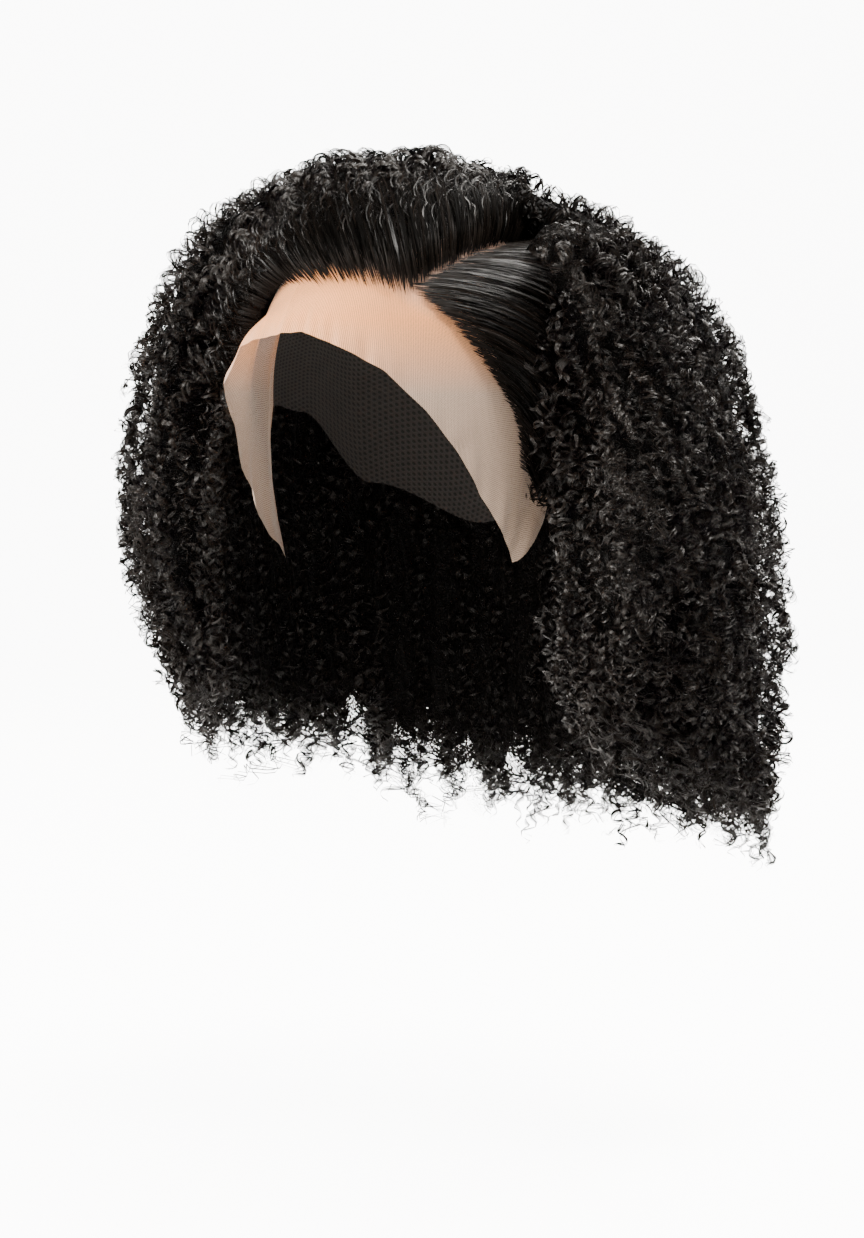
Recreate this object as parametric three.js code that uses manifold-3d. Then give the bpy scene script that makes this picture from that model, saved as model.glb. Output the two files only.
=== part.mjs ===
// A curly lace-front wig: a sheer lace panel from the forehead to the crown, a net cap
// behind it, and black hair in locks that are fused into six masses round the cap.
// Millimetres, +Z up. The face is towards -Y and the wearer's left is +X. The origin is the
// middle of the fitting band, where the cap sits on the head.
import * as THREE from "three";
import { ParametricGeometry } from "three/addons/geometries/ParametricGeometry.js";
import { mergeVertices } from "three/addons/utils/BufferGeometryUtils.js";
import Module from "manifold-3d";

const wasm = await Module();
wasm.setup();

// Head form: the inside of the cap, an egg-shaped band of about 550 mm under a dome
const HEAD_HALF_WIDTH = 76;
const HEAD_HALF_DEPTH = 98;
const CROWN_HEIGHT = 92;
const NAPE_REACH = 118;
const EGG = 0.09; // how much narrower the brow is than the back of the head

// Walls and the gaps between pieces
const CAP_WALL = 1.2;
const LACE_WALL = 1.0;
const GAP = 0.3;
const HAIR_LIFT = CAP_WALL + 5 * GAP; // the hair's faceted inside, from the head form

// The hollow that the hair leaves below the cap, round the neck
const NECK_HALF_WIDTH = 87;
const NECK_HALF_DEPTH = 92;
const NECK_LEVELS = [-14, -32, -60, -260];
const NECK_EASE = 32; // height over which the hollow opens from the band to the neck's size

// Outer form of the hair in upright half-planes, by azimuth from the face towards the left.
// Each row gives [radius, height] at the crown's shoulder, the cheek, the bulge and the tips,
// and hem is the height where the mass ends on its inner side.
const HAIR_PROFILE = [
  { azimuth: 62, shoulder: [82, 86], cheek: [124, 20], bulge: [148, -80], tip: [122, -176], hem: -132 },
  { azimuth: 90, shoulder: [88, 86], cheek: [142, 20], bulge: [166, -92], tip: [148, -204], hem: -160 },
  { azimuth: 114, shoulder: [94, 85], cheek: [153, 22], bulge: [176, -100], tip: [171, -228], hem: -190 },
  { azimuth: 180, shoulder: [92, 84], cheek: [142, 24], bulge: [168, -96], tip: [150, -230], hem: -205 },
  { azimuth: 246, shoulder: [94, 88], cheek: [146, 24], bulge: [168, -90], tip: [140, -192], hem: -172 },
  { azimuth: 270, shoulder: [90, 92], cheek: [134, 30], bulge: [149, -72], tip: [113, -172], hem: -152 },
  { azimuth: 298, shoulder: [86, 95], cheek: [123, 35], bulge: [134, -66], tip: [104, -152], hem: -140 },
];
const CROWN_TOP = 116;

// The hanging hair, cut into masses by azimuth. Each row has its number of locks, and the
// azimuth of the inner lock that rounds off the edge beside the face.
const HANGING_HAIR = [
  { name: "side_curls_left", from: 68, to: 122, locks: 6, faceLock: 73 },
  { name: "back_curls_left", from: 122, to: 180, locks: 6 },
  { name: "back_curls_right", from: 180, to: 238, locks: 6 },
  { name: "side_curls_right", from: 238, to: 292, locks: 6, faceLock: 287 },
];
const FACE_SET_BACK = 6; // degrees from the face edge to the backing under its locks
const FACE_LOCK_DEPTH = 44;
const FACE_LOCK_START = 0.3;
const LOCK_STARTS = [0.04, 0.13]; // share of the profile where locks begin, by turns, from the crown
const LOCK_RADIUS = 17;
const LOCK_INSET = 15; // depth of the backing under the outer form
const LOCK_WAVE = 3.6;
const LOCK_WAVES = 4.5;
const LENGTH_STEPS = [0, -10, 8, -6, 12, -12]; // uneven tips, repeated lock by lock

// Front hair: a row for each strip, with its root on the lace and its end on the outer form.
// rise is how steeply it leaves the lace, and girth is its radius at the middle.
const FRONT_RIGHT = [
  { rootAz: 115, rootZ: 73, endX: 40, endY: 40, endZ: 102, rise: 30, girth: 11 },
  { rootAz: 90, rootZ: 73, endX: 28, endY: 30, endZ: 108, rise: 34, girth: 12 },
  { rootAz: 65, rootZ: 68, endX: 12, endY: 20, endZ: 112, rise: 38, girth: 13 },
  { rootAz: 44, rootZ: 60, endX: -6, endY: 13, endZ: 115, rise: 42, girth: 14 },
  { rootAz: 30, rootZ: 52, endX: -26, endY: 7, endZ: 114, rise: 44, girth: 14 },
  { rootAz: 12, rootZ: 54, endX: -47, endY: 0, endZ: 109, rise: 44, girth: 14 },
  { rootAz: -9, rootZ: 54, endX: -69, endY: -8, endZ: 98, rise: 42, girth: 14 },
  { rootAz: -28, rootZ: 53, endX: -86, endY: -16, endZ: 80, rise: 40, girth: 14 },
  { rootAz: -45, rootZ: 47, endX: -98, endY: -24, endZ: 56, rise: 36, girth: 14 },
  { rootAz: -58, rootZ: 30, endX: -106, endY: -32, endZ: 26, rise: 30, girth: 14 },
  { rootAz: -67, rootZ: 8, endX: -108, endY: -38, endZ: -6, rise: 24, girth: 12 },
];
const FRONT_LEFT = [
  { rootAz: 114, rootZ: 69, endX: 86, endY: 34, endZ: 78, rise: 13, girth: 9 },
  { rootAz: 92, rootZ: 69, endX: 94, endY: 12, endZ: 58, rise: 13, girth: 9 },
  { rootAz: 68, rootZ: 64, endX: 96, endY: -3, endZ: 38, rise: 12, girth: 9 },
  { rootAz: 50, rootZ: 57, endX: 94, endY: -13, endZ: 16, rise: 11, girth: 9 },
  { rootAz: 36, rootZ: 47, endX: 92, endY: -18, endZ: -4, rise: 10, girth: 8 },
  { rootAz: 47, rootZ: 31, endX: 90, endY: -21, endZ: -20, rise: 9, girth: 8 },
  { rootAz: 57, rootZ: 12, endX: 88, endY: -23, endZ: -36, rise: 9, girth: 7 },
  { rootAz: 67, rootZ: -9, endX: 87, endY: -25, endZ: -52, rise: 8, girth: 7 },
  { rootAz: 71, rootZ: -28, endX: 86, endY: -27, endZ: -66, rise: 7, girth: 6 },
];
const ROOT_GIRTH = 0.45; // a strip's radius at its root, as a share of its girth
const PARTING_WIDTH = 4;
const PARTING = [[45.8, 30], [48.7, 2], [47.5, -26], [41.9, -50], [29.6, -78]]; // x and y, back to front

// Free edge of the lace by azimuth: its height, and how far it stands off the skin
const LACE_EDGE = [
  { azimuth: -90, height: -6, flare: 0 },
  { azimuth: -88, height: -26, flare: 2 },
  { azimuth: -86, height: -64, flare: 5 },
  { azimuth: -79, height: -76, flare: 6 },
  { azimuth: -69, height: -61, flare: 6 },
  { azimuth: -62, height: -46, flare: 6 },
  { azimuth: -57, height: -32, flare: 8 },
  { azimuth: -54, height: -15, flare: 8 },
  { azimuth: -50, height: 4, flare: 14 },
  { azimuth: -44, height: 20, flare: 10 },
  { azimuth: -32, height: 26, flare: 3 },
  { azimuth: -14, height: 29, flare: 0 },
  { azimuth: 0, height: 24, flare: 0 },
  { azimuth: 10, height: 19, flare: 0 },
  { azimuth: 22, height: 11, flare: 0 },
  { azimuth: 36, height: -7, flare: 0 },
  { azimuth: 47, height: -26, flare: 0 },
  { azimuth: 57, height: -47, flare: 0 },
  { azimuth: 67, height: -62, flare: 1 },
  { azimuth: 79, height: -78, flare: 3 },
  { azimuth: 86, height: -66, flare: 5 },
  { azimuth: 88, height: -26, flare: 2 },
  { azimuth: 90, height: -6, flare: 0 },
];
const FLARE_FROM = 0.8; // share of the way down the lace where it starts to stand off
const LACE_COLUMN = 10; // widest step between columns, in degrees
const LACE_ROWS = 7;

// Lower rim of the cap by azimuth: over the ear, behind it and down to the nape
const CAP_RIM = [
  { azimuth: 90, height: -6 },
  { azimuth: 108, height: -10 },
  { azimuth: 135, height: -46 },
  { azimuth: 180, height: -66 },
  { azimuth: 225, height: -46 },
  { azimuth: 252, height: -10 },
  { azimuth: 270, height: -6 },
];
const CAP_COLUMN = 9;
const CAP_ROWS = 7;

const HAIR_FINISH = { color: 0x14110e, roughness: 0.42, metalness: 0 };
const LACE_FINISH = { color: 0xc9a98c, roughness: 0.85, metalness: 0 };
const CAP_FINISH = { color: 0x1a1614, roughness: 0.9, metalness: 0 };

const radians = THREE.MathUtils.degToRad;

// A value picked from a table's rows at an azimuth, blended between the two rows beside it
function valueAt(table, azimuth, pick, blend = THREE.MathUtils.lerp) {
  const first = table[0];
  const last = table[table.length - 1];
  const at = THREE.MathUtils.clamp(azimuth, first.azimuth, last.azimuth);
  const next = Math.max(1, table.findIndex((row) => row.azimuth >= at));
  const [a, b] = [table[next - 1], table[next]];
  return blend(pick(a), pick(b), (at - a.azimuth) / (b.azimuth - a.azimuth));
}

function eased(a, b, share) {
  return THREE.MathUtils.lerp(a, b, THREE.MathUtils.smoothstep(share, 0, 1));
}

// A point of the head form, by azimuth and polar angle from the crown, lifted off its surface
function headPoint(azimuth, polar, lift, target = new THREE.Vector3()) {
  const a = radians(azimuth);
  const reach = polar < Math.PI / 2 ? CROWN_HEIGHT : NAPE_REACH;
  const round = Math.sin(polar);
  return target.set(
    (HEAD_HALF_WIDTH + lift) * round * Math.sin(a) * (1 - EGG * Math.cos(a)),
    -(HEAD_HALF_DEPTH + lift) * round * Math.cos(a),
    (reach + lift) * Math.cos(polar),
  );
}

function polarAt(height) {
  return Math.acos(height / (height > 0 ? CROWN_HEIGHT : NAPE_REACH));
}

// A geometry's positions alone, with shared vertices merged
function merged(geometry) {
  geometry.deleteAttribute("normal");
  geometry.deleteAttribute("uv");
  return mergeVertices(geometry, 1e-3);
}

// A closed surface from a function of two shares, without the flat triangles at poles and seams
function closedSurface(pointAt, slices, stacks) {
  const surface = merged(new ParametricGeometry(pointAt, slices, stacks));
  const index = surface.index.array;
  const kept = [];
  for (let i = 0; i < index.length; i += 3) {
    const [a, b, c] = index.subarray(i, i + 3);
    if (a !== b && b !== c && c !== a) kept.push(a, b, c);
  }
  return surface.setIndex(kept);
}

function solidOf(geometry) {
  const mesh = { numProp: 3, vertProperties: geometry.attributes.position.array };
  const made = new wasm.Manifold(new wasm.Mesh({ ...mesh, triVerts: new Uint32Array(geometry.index.array) }));
  if (made.volume() > 0) return made;
  const turned = new Uint32Array(geometry.index.array).reverse();
  return new wasm.Manifold(new wasm.Mesh({ ...mesh, triVerts: turned }));
}

function geometryOf(solid) {
  const { vertProperties, triVerts } = solid.getMesh();
  return new THREE.BufferGeometry()
    .setAttribute("position", new THREE.BufferAttribute(vertProperties, 3))
    .setIndex(new THREE.BufferAttribute(triVerts, 1));
}

function joined(solids) {
  return solids.reduce((whole, next) => whole.add(next));
}

// The largest body of a cut solid, without crumbs or sealed hollows
function mainBody(solid) {
  return solid.decompose().reduce((best, next) => (next.volume() > best.volume() ? next : best));
}

// A wall over a grid: rows run down its outside, round the rim and up its inside, and the first
// and last columns close on the middle of the wall. surface(column, row share, side) has side 1
// outside and 0 inside. Columns run towards the left, so the outside faces out.
function wall(columns, rows, surface) {
  const slices = columns.length + 1;
  const stacks = 2 * rows + 2;
  return closedSurface(
    (u, v, target) => {
      const slice = Math.round(u * slices);
      const stack = (stacks - Math.round(v * stacks)) % stacks;
      const outside = stack <= rows;
      const row = outside ? stack : 2 * rows + 1 - stack;
      const end = slice === 0 || slice === slices;
      const at = columns[THREE.MathUtils.clamp(slice - 1, 0, columns.length - 1)];
      target.copy(surface(at, row / rows, end ? 0.5 : Number(outside)));
    },
    slices,
    stacks,
  );
}

// Azimuths of a table's rows, with steps no wider than asked between them
function columnsOf(table, widest) {
  const azimuths = [table[0].azimuth];
  table.slice(1).forEach((row, i) => {
    const from = table[i].azimuth;
    const steps = Math.ceil((row.azimuth - from) / widest);
    for (let k = 1; k <= steps; k++) azimuths.push(from + ((row.azimuth - from) * k) / steps);
  });
  return azimuths;
}

function capGeometry() {
  return wall(columnsOf(CAP_RIM, CAP_COLUMN), CAP_ROWS, (azimuth, share, side) => {
    const polar = polarAt(valueAt(CAP_RIM, azimuth, (row) => row.height)) * share;
    return headPoint(azimuth, polar, CAP_WALL * side);
  });
}

function laceGeometry() {
  return wall(columnsOf(LACE_EDGE, LACE_COLUMN), LACE_ROWS, (azimuth, share, side) => {
    const polar = polarAt(valueAt(LACE_EDGE, azimuth, (row) => row.height)) * share;
    const flare = valueAt(LACE_EDGE, azimuth, (row) => row.flare);
    const standOff = flare * THREE.MathUtils.smoothstep(share, FLARE_FROM, 1);
    return headPoint(azimuth, polar, LACE_WALL * side + standOff);
  });
}

// The room that hair leaves for the head and neck: the head form, lifted, and below the band the
// wider of the head form and a hollow that opens to the neck's size
function headRoom(slices = 26) {
  const dome = 7;
  const stacks = dome + NECK_LEVELS.length + 1;
  return solidOf(
    closedSurface(
      (u, v, target) => {
        const stack = Math.round(v * stacks);
        const azimuth = u === 1 ? 0 : 360 * u;
        if (stack <= dome) {
          headPoint(azimuth, (Math.PI / 2) * (stack / dome), HAIR_LIFT, target);
          return;
        }
        const height = NECK_LEVELS[Math.min(stack - dome, NECK_LEVELS.length) - 1];
        const a = radians(azimuth);
        const head = headPoint(azimuth, polarAt(Math.max(height, -NAPE_REACH)), HAIR_LIFT);
        const band = headPoint(azimuth, Math.PI / 2, HAIR_LIFT);
        const neck = Math.hypot(NECK_HALF_WIDTH * Math.sin(a), NECK_HALF_DEPTH * Math.cos(a));
        const open = THREE.MathUtils.smoothstep(-height, 0, NECK_EASE);
        const hollow = THREE.MathUtils.lerp(band.length(), neck, open);
        const radius = Math.max(Math.hypot(head.x, head.y), hollow);
        target.set(Math.sin(a), -Math.cos(a), 0).multiplyScalar(stack === stacks ? 0 : radius);
        target.z = height;
      },
      slices,
      stacks,
    ),
  );
}

// The outer form's profile at an azimuth, as a curve of radius and height from crown to tip
function profileAt(azimuth, tipRise = 0) {
  const at = (key) => {
    const [radius, height] = [0, 1].map((i) => valueAt(HAIR_PROFILE, azimuth, (row) => row[key][i], eased));
    return new THREE.Vector2(radius, height);
  };
  const crown = new THREE.Vector2(0, CROWN_TOP);
  const tip = at("tip");
  tip.y += tipRise;
  return new THREE.SplineCurve([crown, at("shoulder"), at("cheek"), at("bulge"), tip]);
}

// A point under the outer form: inset along the profile's normal, swayed along the azimuth
function hairPoint(azimuth, curve, share, inset, sway = 0) {
  const at = curve.getPoint(share);
  const along = curve.getTangent(share);
  const radius = at.x + along.y * inset;
  const a = radians(azimuth);
  return new THREE.Vector3(
    radius * Math.sin(a) + sway * Math.cos(a),
    -radius * Math.cos(a) + sway * Math.sin(a),
    at.y - along.x * inset,
  );
}

// A lock of hair: a tapered tube on a path, closed to a point at both ends
function lock(path, radiusAt, steps, sides = 5) {
  const points = path.getSpacedPoints(steps);
  const frames = path.computeFrenetFrames(steps, false);
  return solidOf(
    closedSurface(
      (u, v, target) => {
        const step = Math.round(v * steps);
        const turn = u === 1 ? 0 : 2 * Math.PI * u;
        const radius = step === 0 || step === steps ? 0 : radiusAt(step / steps);
        target
          .copy(points[step])
          .addScaledVector(frames.normals[step], radius * Math.cos(turn))
          .addScaledVector(frames.binormals[step], radius * Math.sin(turn));
      },
      sides,
      steps,
    ),
  );
}

// Backing of a hanging mass, from the head room to under the locks, ending along its inner hem
function backing({ from, to, faceLock }) {
  const overlap = 3;
  const start = faceLock < 180 ? from + FACE_SET_BACK : from - overlap;
  const end = faceLock > 180 ? to - FACE_SET_BACK : to + overlap;
  const columns = [];
  for (let k = 0; k <= 5; k++) columns.push(start + ((end - start) * k) / 5);
  return solidOf(
    wall(columns, 6, (azimuth, share, side) => {
      const curve = profileAt(azimuth);
      const outer = hairPoint(azimuth, curve, THREE.MathUtils.lerp(LOCK_STARTS[1], 0.93, share), LOCK_INSET);
      const inner = outer.clone().setZ(0).setLength(HEAD_HALF_WIDTH * Math.min(0.7, 0.1 + 2 * share));
      const hem = valueAt(HAIR_PROFILE, azimuth, (row) => row.hem, eased);
      inner.z = THREE.MathUtils.lerp(CROWN_HEIGHT * 0.8, hem, share);
      return inner.lerp(outer, side);
    }),
  );
}

// A hanging lock follows the outer form from the crown to its tip in a slow corkscrew
function hangingLock(azimuth, start, depth, tipRise, phase) {
  const curve = profileAt(azimuth, tipRise);
  const points = Array.from({ length: 21 }, (_, i) => {
    const share = THREE.MathUtils.lerp(start, 1, i / 20);
    const turn = 2 * Math.PI * (LOCK_WAVES * share + phase);
    return hairPoint(azimuth, curve, share, depth + LOCK_WAVE * Math.cos(turn), LOCK_WAVE * Math.sin(turn));
  });
  const girth = (share) => LOCK_RADIUS * Math.min(1, 0.35 + 3 * share, Math.sqrt(4.5 * (1 - share)));
  return lock(new THREE.CatmullRomCurve3(points), girth, 11);
}

// Hanging locks lie side by side over the backing, with one more behind the edge at the face
function hangingLocks({ from, to, locks, faceLock }) {
  const made = Array.from({ length: locks }, (_, k) => {
    const azimuth = from + ((to - from) * (k + 0.5)) / locks;
    const tipRise = LENGTH_STEPS[k % LENGTH_STEPS.length];
    return hangingLock(azimuth, LOCK_STARTS[k % 2], LOCK_RADIUS * 0.8, tipRise, k / 3);
  });
  if (faceLock) made.push(hangingLock(faceLock, FACE_LOCK_START, FACE_LOCK_DEPTH, FACE_LOCK_DEPTH, 0.5));
  return made;
}

// A front strip rises off the lace along its own way and bends over to its end
function stripPath({ rootAz, rootZ, endX, endY, endZ, rise }) {
  const root = headPoint(rootAz, polarAt(rootZ), HAIR_LIFT);
  const end = new THREE.Vector3(endX, endY, endZ);
  const out = root.clone().normalize();
  const across = end.clone().sub(root);
  const leave = root.clone().addScaledVector(out, rise * 0.7).addScaledVector(across, 0.15);
  const arrive = end.clone().addScaledVector(across, -0.3);
  arrive.z += rise * 0.35;
  return new THREE.CubicBezierCurve3(root, leave, arrive, end);
}

// The strips of a front mass lie side by side on a filling that reaches down to the lace. extra
// makes the whole mass thicker, to cut its neighbours clear of it.
function frontMass(table, extra = 0) {
  const strips = table.map((row) => {
    const radiusAt = (share) =>
      row.girth * Math.min(ROOT_GIRTH + 1.4 * share, 1, ROOT_GIRTH + 1.6 * (1 - share)) + extra;
    return lock(stripPath(row), radiusAt, 6);
  });
  const filling = wall(table.map(stripPath), 6, (path, share, side) => {
    const along = THREE.MathUtils.lerp(0.04, 0.96, share);
    const over = path.getPoint(along);
    if (share === 1) over.addScaledVector(path.getTangent(along), 2 * extra);
    return over.setLength(over.length() * THREE.MathUtils.lerp(0.6, 1, side) + 2 * extra * side);
  });
  return joined([solidOf(filling), ...strips]);
}

// A wedge between two azimuths, drawn in by half a gap on each side
function wedge({ from, to, faceLock }) {
  const far = 400;
  const spread = 20;
  const ray = (azimuth, shift) => {
    const a = radians(azimuth);
    const corner = new THREE.Vector2(Math.sin(a), -Math.cos(a)).multiplyScalar(far);
    return corner.add(new THREE.Vector2(Math.cos(a), Math.sin(a)).multiplyScalar(shift));
  };
  const start = faceLock < 180 ? from - spread : from;
  const end = faceLock > 180 ? to + spread : to;
  const middle = ray((start + end) / 2, 0).multiplyScalar(1.5);
  const apex = ray((start + end) / 2, 0).setLength(GAP);
  const shape = new THREE.Shape([apex, ray(start, GAP / 2), middle, ray(end, -GAP / 2)]);
  const prism = new THREE.ExtrudeGeometry(shape, { depth: 2 * far, bevelEnabled: false });
  return solidOf(merged(prism.translate(0, 0, -far)));
}

// The strip of bare lace along the parting, cut through both front masses
function partingStrip() {
  const line = PARTING.map(([x, y]) => new THREE.Vector2(x, y));
  const beside = (side) =>
    line.map((point, k) => {
      const run = line[Math.min(k + 1, line.length - 1)].clone().sub(line[Math.max(k - 1, 0)]).normalize();
      return new THREE.Vector2(-run.y, run.x).multiplyScalar((side * PARTING_WIDTH) / 2).add(point);
    });
  const shape = new THREE.Shape([...beside(1), ...beside(-1).reverse()]);
  const prism = new THREE.ExtrudeGeometry(shape, { depth: CROWN_HEIGHT, bevelEnabled: false });
  return solidOf(merged(prism.translate(0, 0, CROWN_HEIGHT / 3)));
}

const room = headRoom();
const parting = partingStrip();
const frontLeft = frontMass(FRONT_LEFT).subtract(room).subtract(parting);
const leftKeep = frontMass(FRONT_LEFT, GAP);
const frontRight = frontMass(FRONT_RIGHT).subtract(leftKeep).subtract(room).subtract(parting);
const frontKeep = leftKeep.add(frontMass(FRONT_RIGHT, GAP));

function hangingMass(sector) {
  const mass = joined([backing(sector), ...hangingLocks(sector)]);
  return mass.intersect(wedge(sector)).subtract(frontKeep).subtract(room);
}

const wig = new THREE.Group();

function add(name, geometry, finish) {
  const mesh = new THREE.Mesh(geometry, new THREE.MeshStandardMaterial(finish));
  mesh.name = name;
  wig.add(mesh);
  return mesh;
}

add("lace_front", laceGeometry(), LACE_FINISH);
add("wig_cap", capGeometry(), CAP_FINISH).position.y = GAP;
const hair = { front_hair_left: frontLeft, front_hair_right: frontRight };
HANGING_HAIR.forEach((sector) => (hair[sector.name] = hangingMass(sector)));
Object.entries(hair).forEach(([name, solid]) => add(name, geometryOf(mainBody(solid)), HAIR_FINISH));

export default wig;
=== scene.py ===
"""Looks of a curly lace-front wig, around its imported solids.

The file is laid out as an add-on and run as a script. Tables are in millimetres and degrees, meshes
in metres, in the part's own frame: +Z up, -Y towards the face, +X towards the wearer's left.
Azimuth 0 is the face, 90 the wearer's left, 180 the back.
"""
import math

import bpy
import numpy as np
from mathutils import Matrix, Vector


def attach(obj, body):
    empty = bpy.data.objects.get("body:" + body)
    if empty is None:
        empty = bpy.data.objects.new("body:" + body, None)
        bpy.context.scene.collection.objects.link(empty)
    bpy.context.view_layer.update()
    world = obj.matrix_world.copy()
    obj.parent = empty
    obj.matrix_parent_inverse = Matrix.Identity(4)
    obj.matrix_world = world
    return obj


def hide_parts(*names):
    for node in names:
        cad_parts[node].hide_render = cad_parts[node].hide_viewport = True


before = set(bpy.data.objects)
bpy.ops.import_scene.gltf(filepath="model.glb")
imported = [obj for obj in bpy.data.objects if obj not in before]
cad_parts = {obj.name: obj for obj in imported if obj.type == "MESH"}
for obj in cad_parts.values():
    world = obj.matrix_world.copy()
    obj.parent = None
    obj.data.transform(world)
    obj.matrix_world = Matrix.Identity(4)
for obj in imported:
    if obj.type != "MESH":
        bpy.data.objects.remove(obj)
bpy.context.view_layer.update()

bl_info = {
    "name": "Curly lace-front wig",
    "version": (1, 0, 0),
    "blender": (4, 5, 0),
    "location": "View3D > Sidebar > Wig",
    "description": "Lace, net cap, sleek front hair and hanging curls of a wig",
    "category": "Object",
}

MM = 0.001

# Cap form, on which the lace and the cap are stretched: half width, half depth, height of the crown,
# reach down to the nape, and how much narrower it is in front and wider behind
CAP_HALF_WIDTH = 76
CAP_HALF_DEPTH = 98
CROWN_HEIGHT = 92
NAPE_REACH = 118
EGG = 0.09

# Hollow inside the hanging hair: how far it lies off the cap form, its half width and half depth
# further down, and the height over which it opens to them
HAIR_LIFT = 3.7
HOLLOW_HALF_WIDTH = 87
HOLLOW_HALF_DEPTH = 92
HOLLOW_LIFT = 2
HOLLOW_EASE = 32

# Outer form of the hanging hair. A row is an azimuth, then radius and height of the shoulder,
# cheek, bulge and tip of its profile, and the height where the hair ends on the inside.
CROWN_TOP = 116
PAST_TIP = 420  # way down from the tip for each 1 of share past it
PROFILE_STEPS = 40  # straight steps in which a profile's length is measured
HAIR_PROFILE = np.array([
    [62, 82, 86, 124, 20, 148, -80, 122, -176, -132],
    [90, 88, 86, 142, 20, 166, -92, 148, -204, -160],
    [114, 94, 85, 153, 22, 176, -100, 171, -228, -190],
    [180, 92, 84, 142, 24, 168, -96, 150, -230, -205],
    [246, 94, 88, 146, 24, 168, -90, 140, -192, -172],
    [270, 90, 92, 134, 30, 149, -72, 113, -172, -152],
    [298, 86, 95, 123, 35, 134, -66, 104, -152, -140],
], float)

# Front hair. A row is a root's azimuth and height on the lace, the end's place on the outer form,
# how steeply the hair leaves the lace, and how far it arches sideways before it falls, from 0 to 1.
FRONT_RIGHT = np.array([
    [115, 73, 40, 40, 102, 30, 0],
    [90, 73, 28, 30, 105, 34, 0],
    [65, 68, 12, 20, 109, 38, 0],
    [44, 60, -6, 13, 113, 42, 0],
    [30, 52, -26, 7, 114, 44, 0],
    [12, 54, -47, 0, 111, 44, 0],
    [-9, 54, -69, -8, 100, 42, 0],
    [-28, 53, -86, -16, 80, 40, 0],
    [-45, 47, -98, -24, 56, 36, 0],
    [-58, 30, -106, -32, 26, 30, 0],
    [-67, 8, -108, -38, -6, 24, 0],
], float)
FRONT_LEFT = np.array([
    [114, 69, 86, 34, 78, 13, 1],
    [92, 69, 94, 12, 58, 13, 1],
    [68, 64, 96, -3, 38, 12, 1],
    [50, 57, 94, -13, 16, 11, 1],
    [36, 47, 92, -18, -4, 10, 0.9],
    [47, 31, 90, -21, -20, 9, 0.65],
    [57, 12, 88, -23, -36, 9, 0.45],
    [67, -9, 87, -25, -52, 8, 0.35],
    [71, -28, 86, -27, -66, 7, 0.3],
], float)

# Rows of the front hair's tables: the last place on the parting, and where the hairline takes over
PARTING_END = 3.9
HAIRLINE_ROWS = (3.4, 4.4)

# How far hair roots lie beyond the tables', towards the parting: rows of a table, then lengths
PARTING_REACH = ((0, 1, 4, 5), (3.8, 2.6, 3.2, 0.0))

# How far the front hair lies off the cap form: its roots, its fine hairs' roots, the bottom of its
# bed, and the feet of its ends, towards which roots behind the hairline are set back
ROOT_LIFT = 1.2
FINE_LIFT = 0.9
BED_LIFT = 1.8
FOOT_LIFT = 4

# Free edge of the lace: azimuth, height, and how far it stands off the cap form
LACE_EDGE = np.array([
    [-90, -6, 0],
    [-88, -26, 2],
    [-86, -64, 5],
    [-79, -76, 6],
    [-69, -61, 6],
    [-62, -46, 6],
    [-57, -32, 8],
    [-54, -15, 8],
    [-50, 4, 14],
    [-44, 20, 10],
    [-32, 26, 3],
    [-14, 29, 0],
    [0, 24, 0],
    [10, 19, 0],
    [22, 11, 0],
    [36, -7, 0],
    [47, -26, 0],
    [57, -47, 0],
    [67, -62, 1],
    [79, -78, 3],
    [86, -66, 5],
    [88, -26, 2],
    [90, -6, 0],
], float)
FLARE_FROM = 0.8  # share of the way down the lace where it starts to stand off
LACE_WALL = 1.0
# Painted shade: the tabs stand off the cap over the dark hair and take a greyer, darker colour, low down up
# to the top of LACE_TABS
LACE_TABS = (0.0, 0.035)  # heights in metres over which the lace turns from the tabs to its middle
# Painted shade: nearer the crown than LACE_BARE, under the hair and along the parting, the lace takes a
# greyer, darker colour, as in the hair's shade
LACE_BARE = (0.088, 0.108)  # way from the crown in metres over which the lace comes out of the hair
LACE_CROWN_SHADE_COLOUR = (0.72, 0.42, 0.29)
LACE_TAB_SHADE_COLOUR = (0.48, 0.34, 0.25)
LACE_KNOT_COLOUR = (0.06, 0.036, 0.025)

# Lower rim of the cap: azimuth and height
CAP_RIM = np.array([
    [90, -6],
    [108, -10],
    [135, -46],
    [180, -66],
    [225, -46],
    [252, -10],
    [270, -6],
], float)
CAP_WALL = 1.2
CAP_SET_BACK = 0.3

LOCK_TURN = 8.0  # degrees of azimuth between the middles of neighbouring locks
FRONT_SEED = 40  # step from the seed of the hanging hair to that of the front hair
NARROWEST = 0.15  # width of a strand's ends, as a share of its middle
MAP_STEP = 0.0137  # metres between neighbouring strands on the UV map

# Numbers of a hair object's materials: the last three are inner hair in the hanging masses, and curled
# and softly shining hair at the front
MAIN, DEEP, SINGLE, INNER, CURLED, SHEEN = 0, 1, 2, 3, 3, 4

# Finishes of the strands: roughness, gloss, and whether they are frayed
# They are lit and shaded copies of one hair: Sleek hair has almost no gloss, as painted shade on the combed
# front hair, and Inner hair is duller, as painted shade inside the masses
HAIR_FINISHES = {
    "Sleek hair": (0.4, 0.01, True),
    "Sheen hair": (0.34, 0.24, True),
    "Curled hair": (0.31, 0.24, True),
    "Inner hair": (0.5, 0.12, True),
    "Single hairs": (0.42, 0.08, False),
}

# Sweep behind the part, in metres: front edge, start and radius of its bend, height and half width
SWEEP_FRONT = -6.0
SWEEP_BEND_FROM = 2.6
SWEEP_BEND = 1.2
SWEEP_HEIGHT = 5.0
SWEEP_HALF_WIDTH = 7.0

# Picture at the part, in metres: its height, and its middle's place to the right of and above the origin
PICTURE_HEIGHT = 0.603
PICTURE_RIGHT = 0.0088
PICTURE_UP = -0.110


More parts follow.
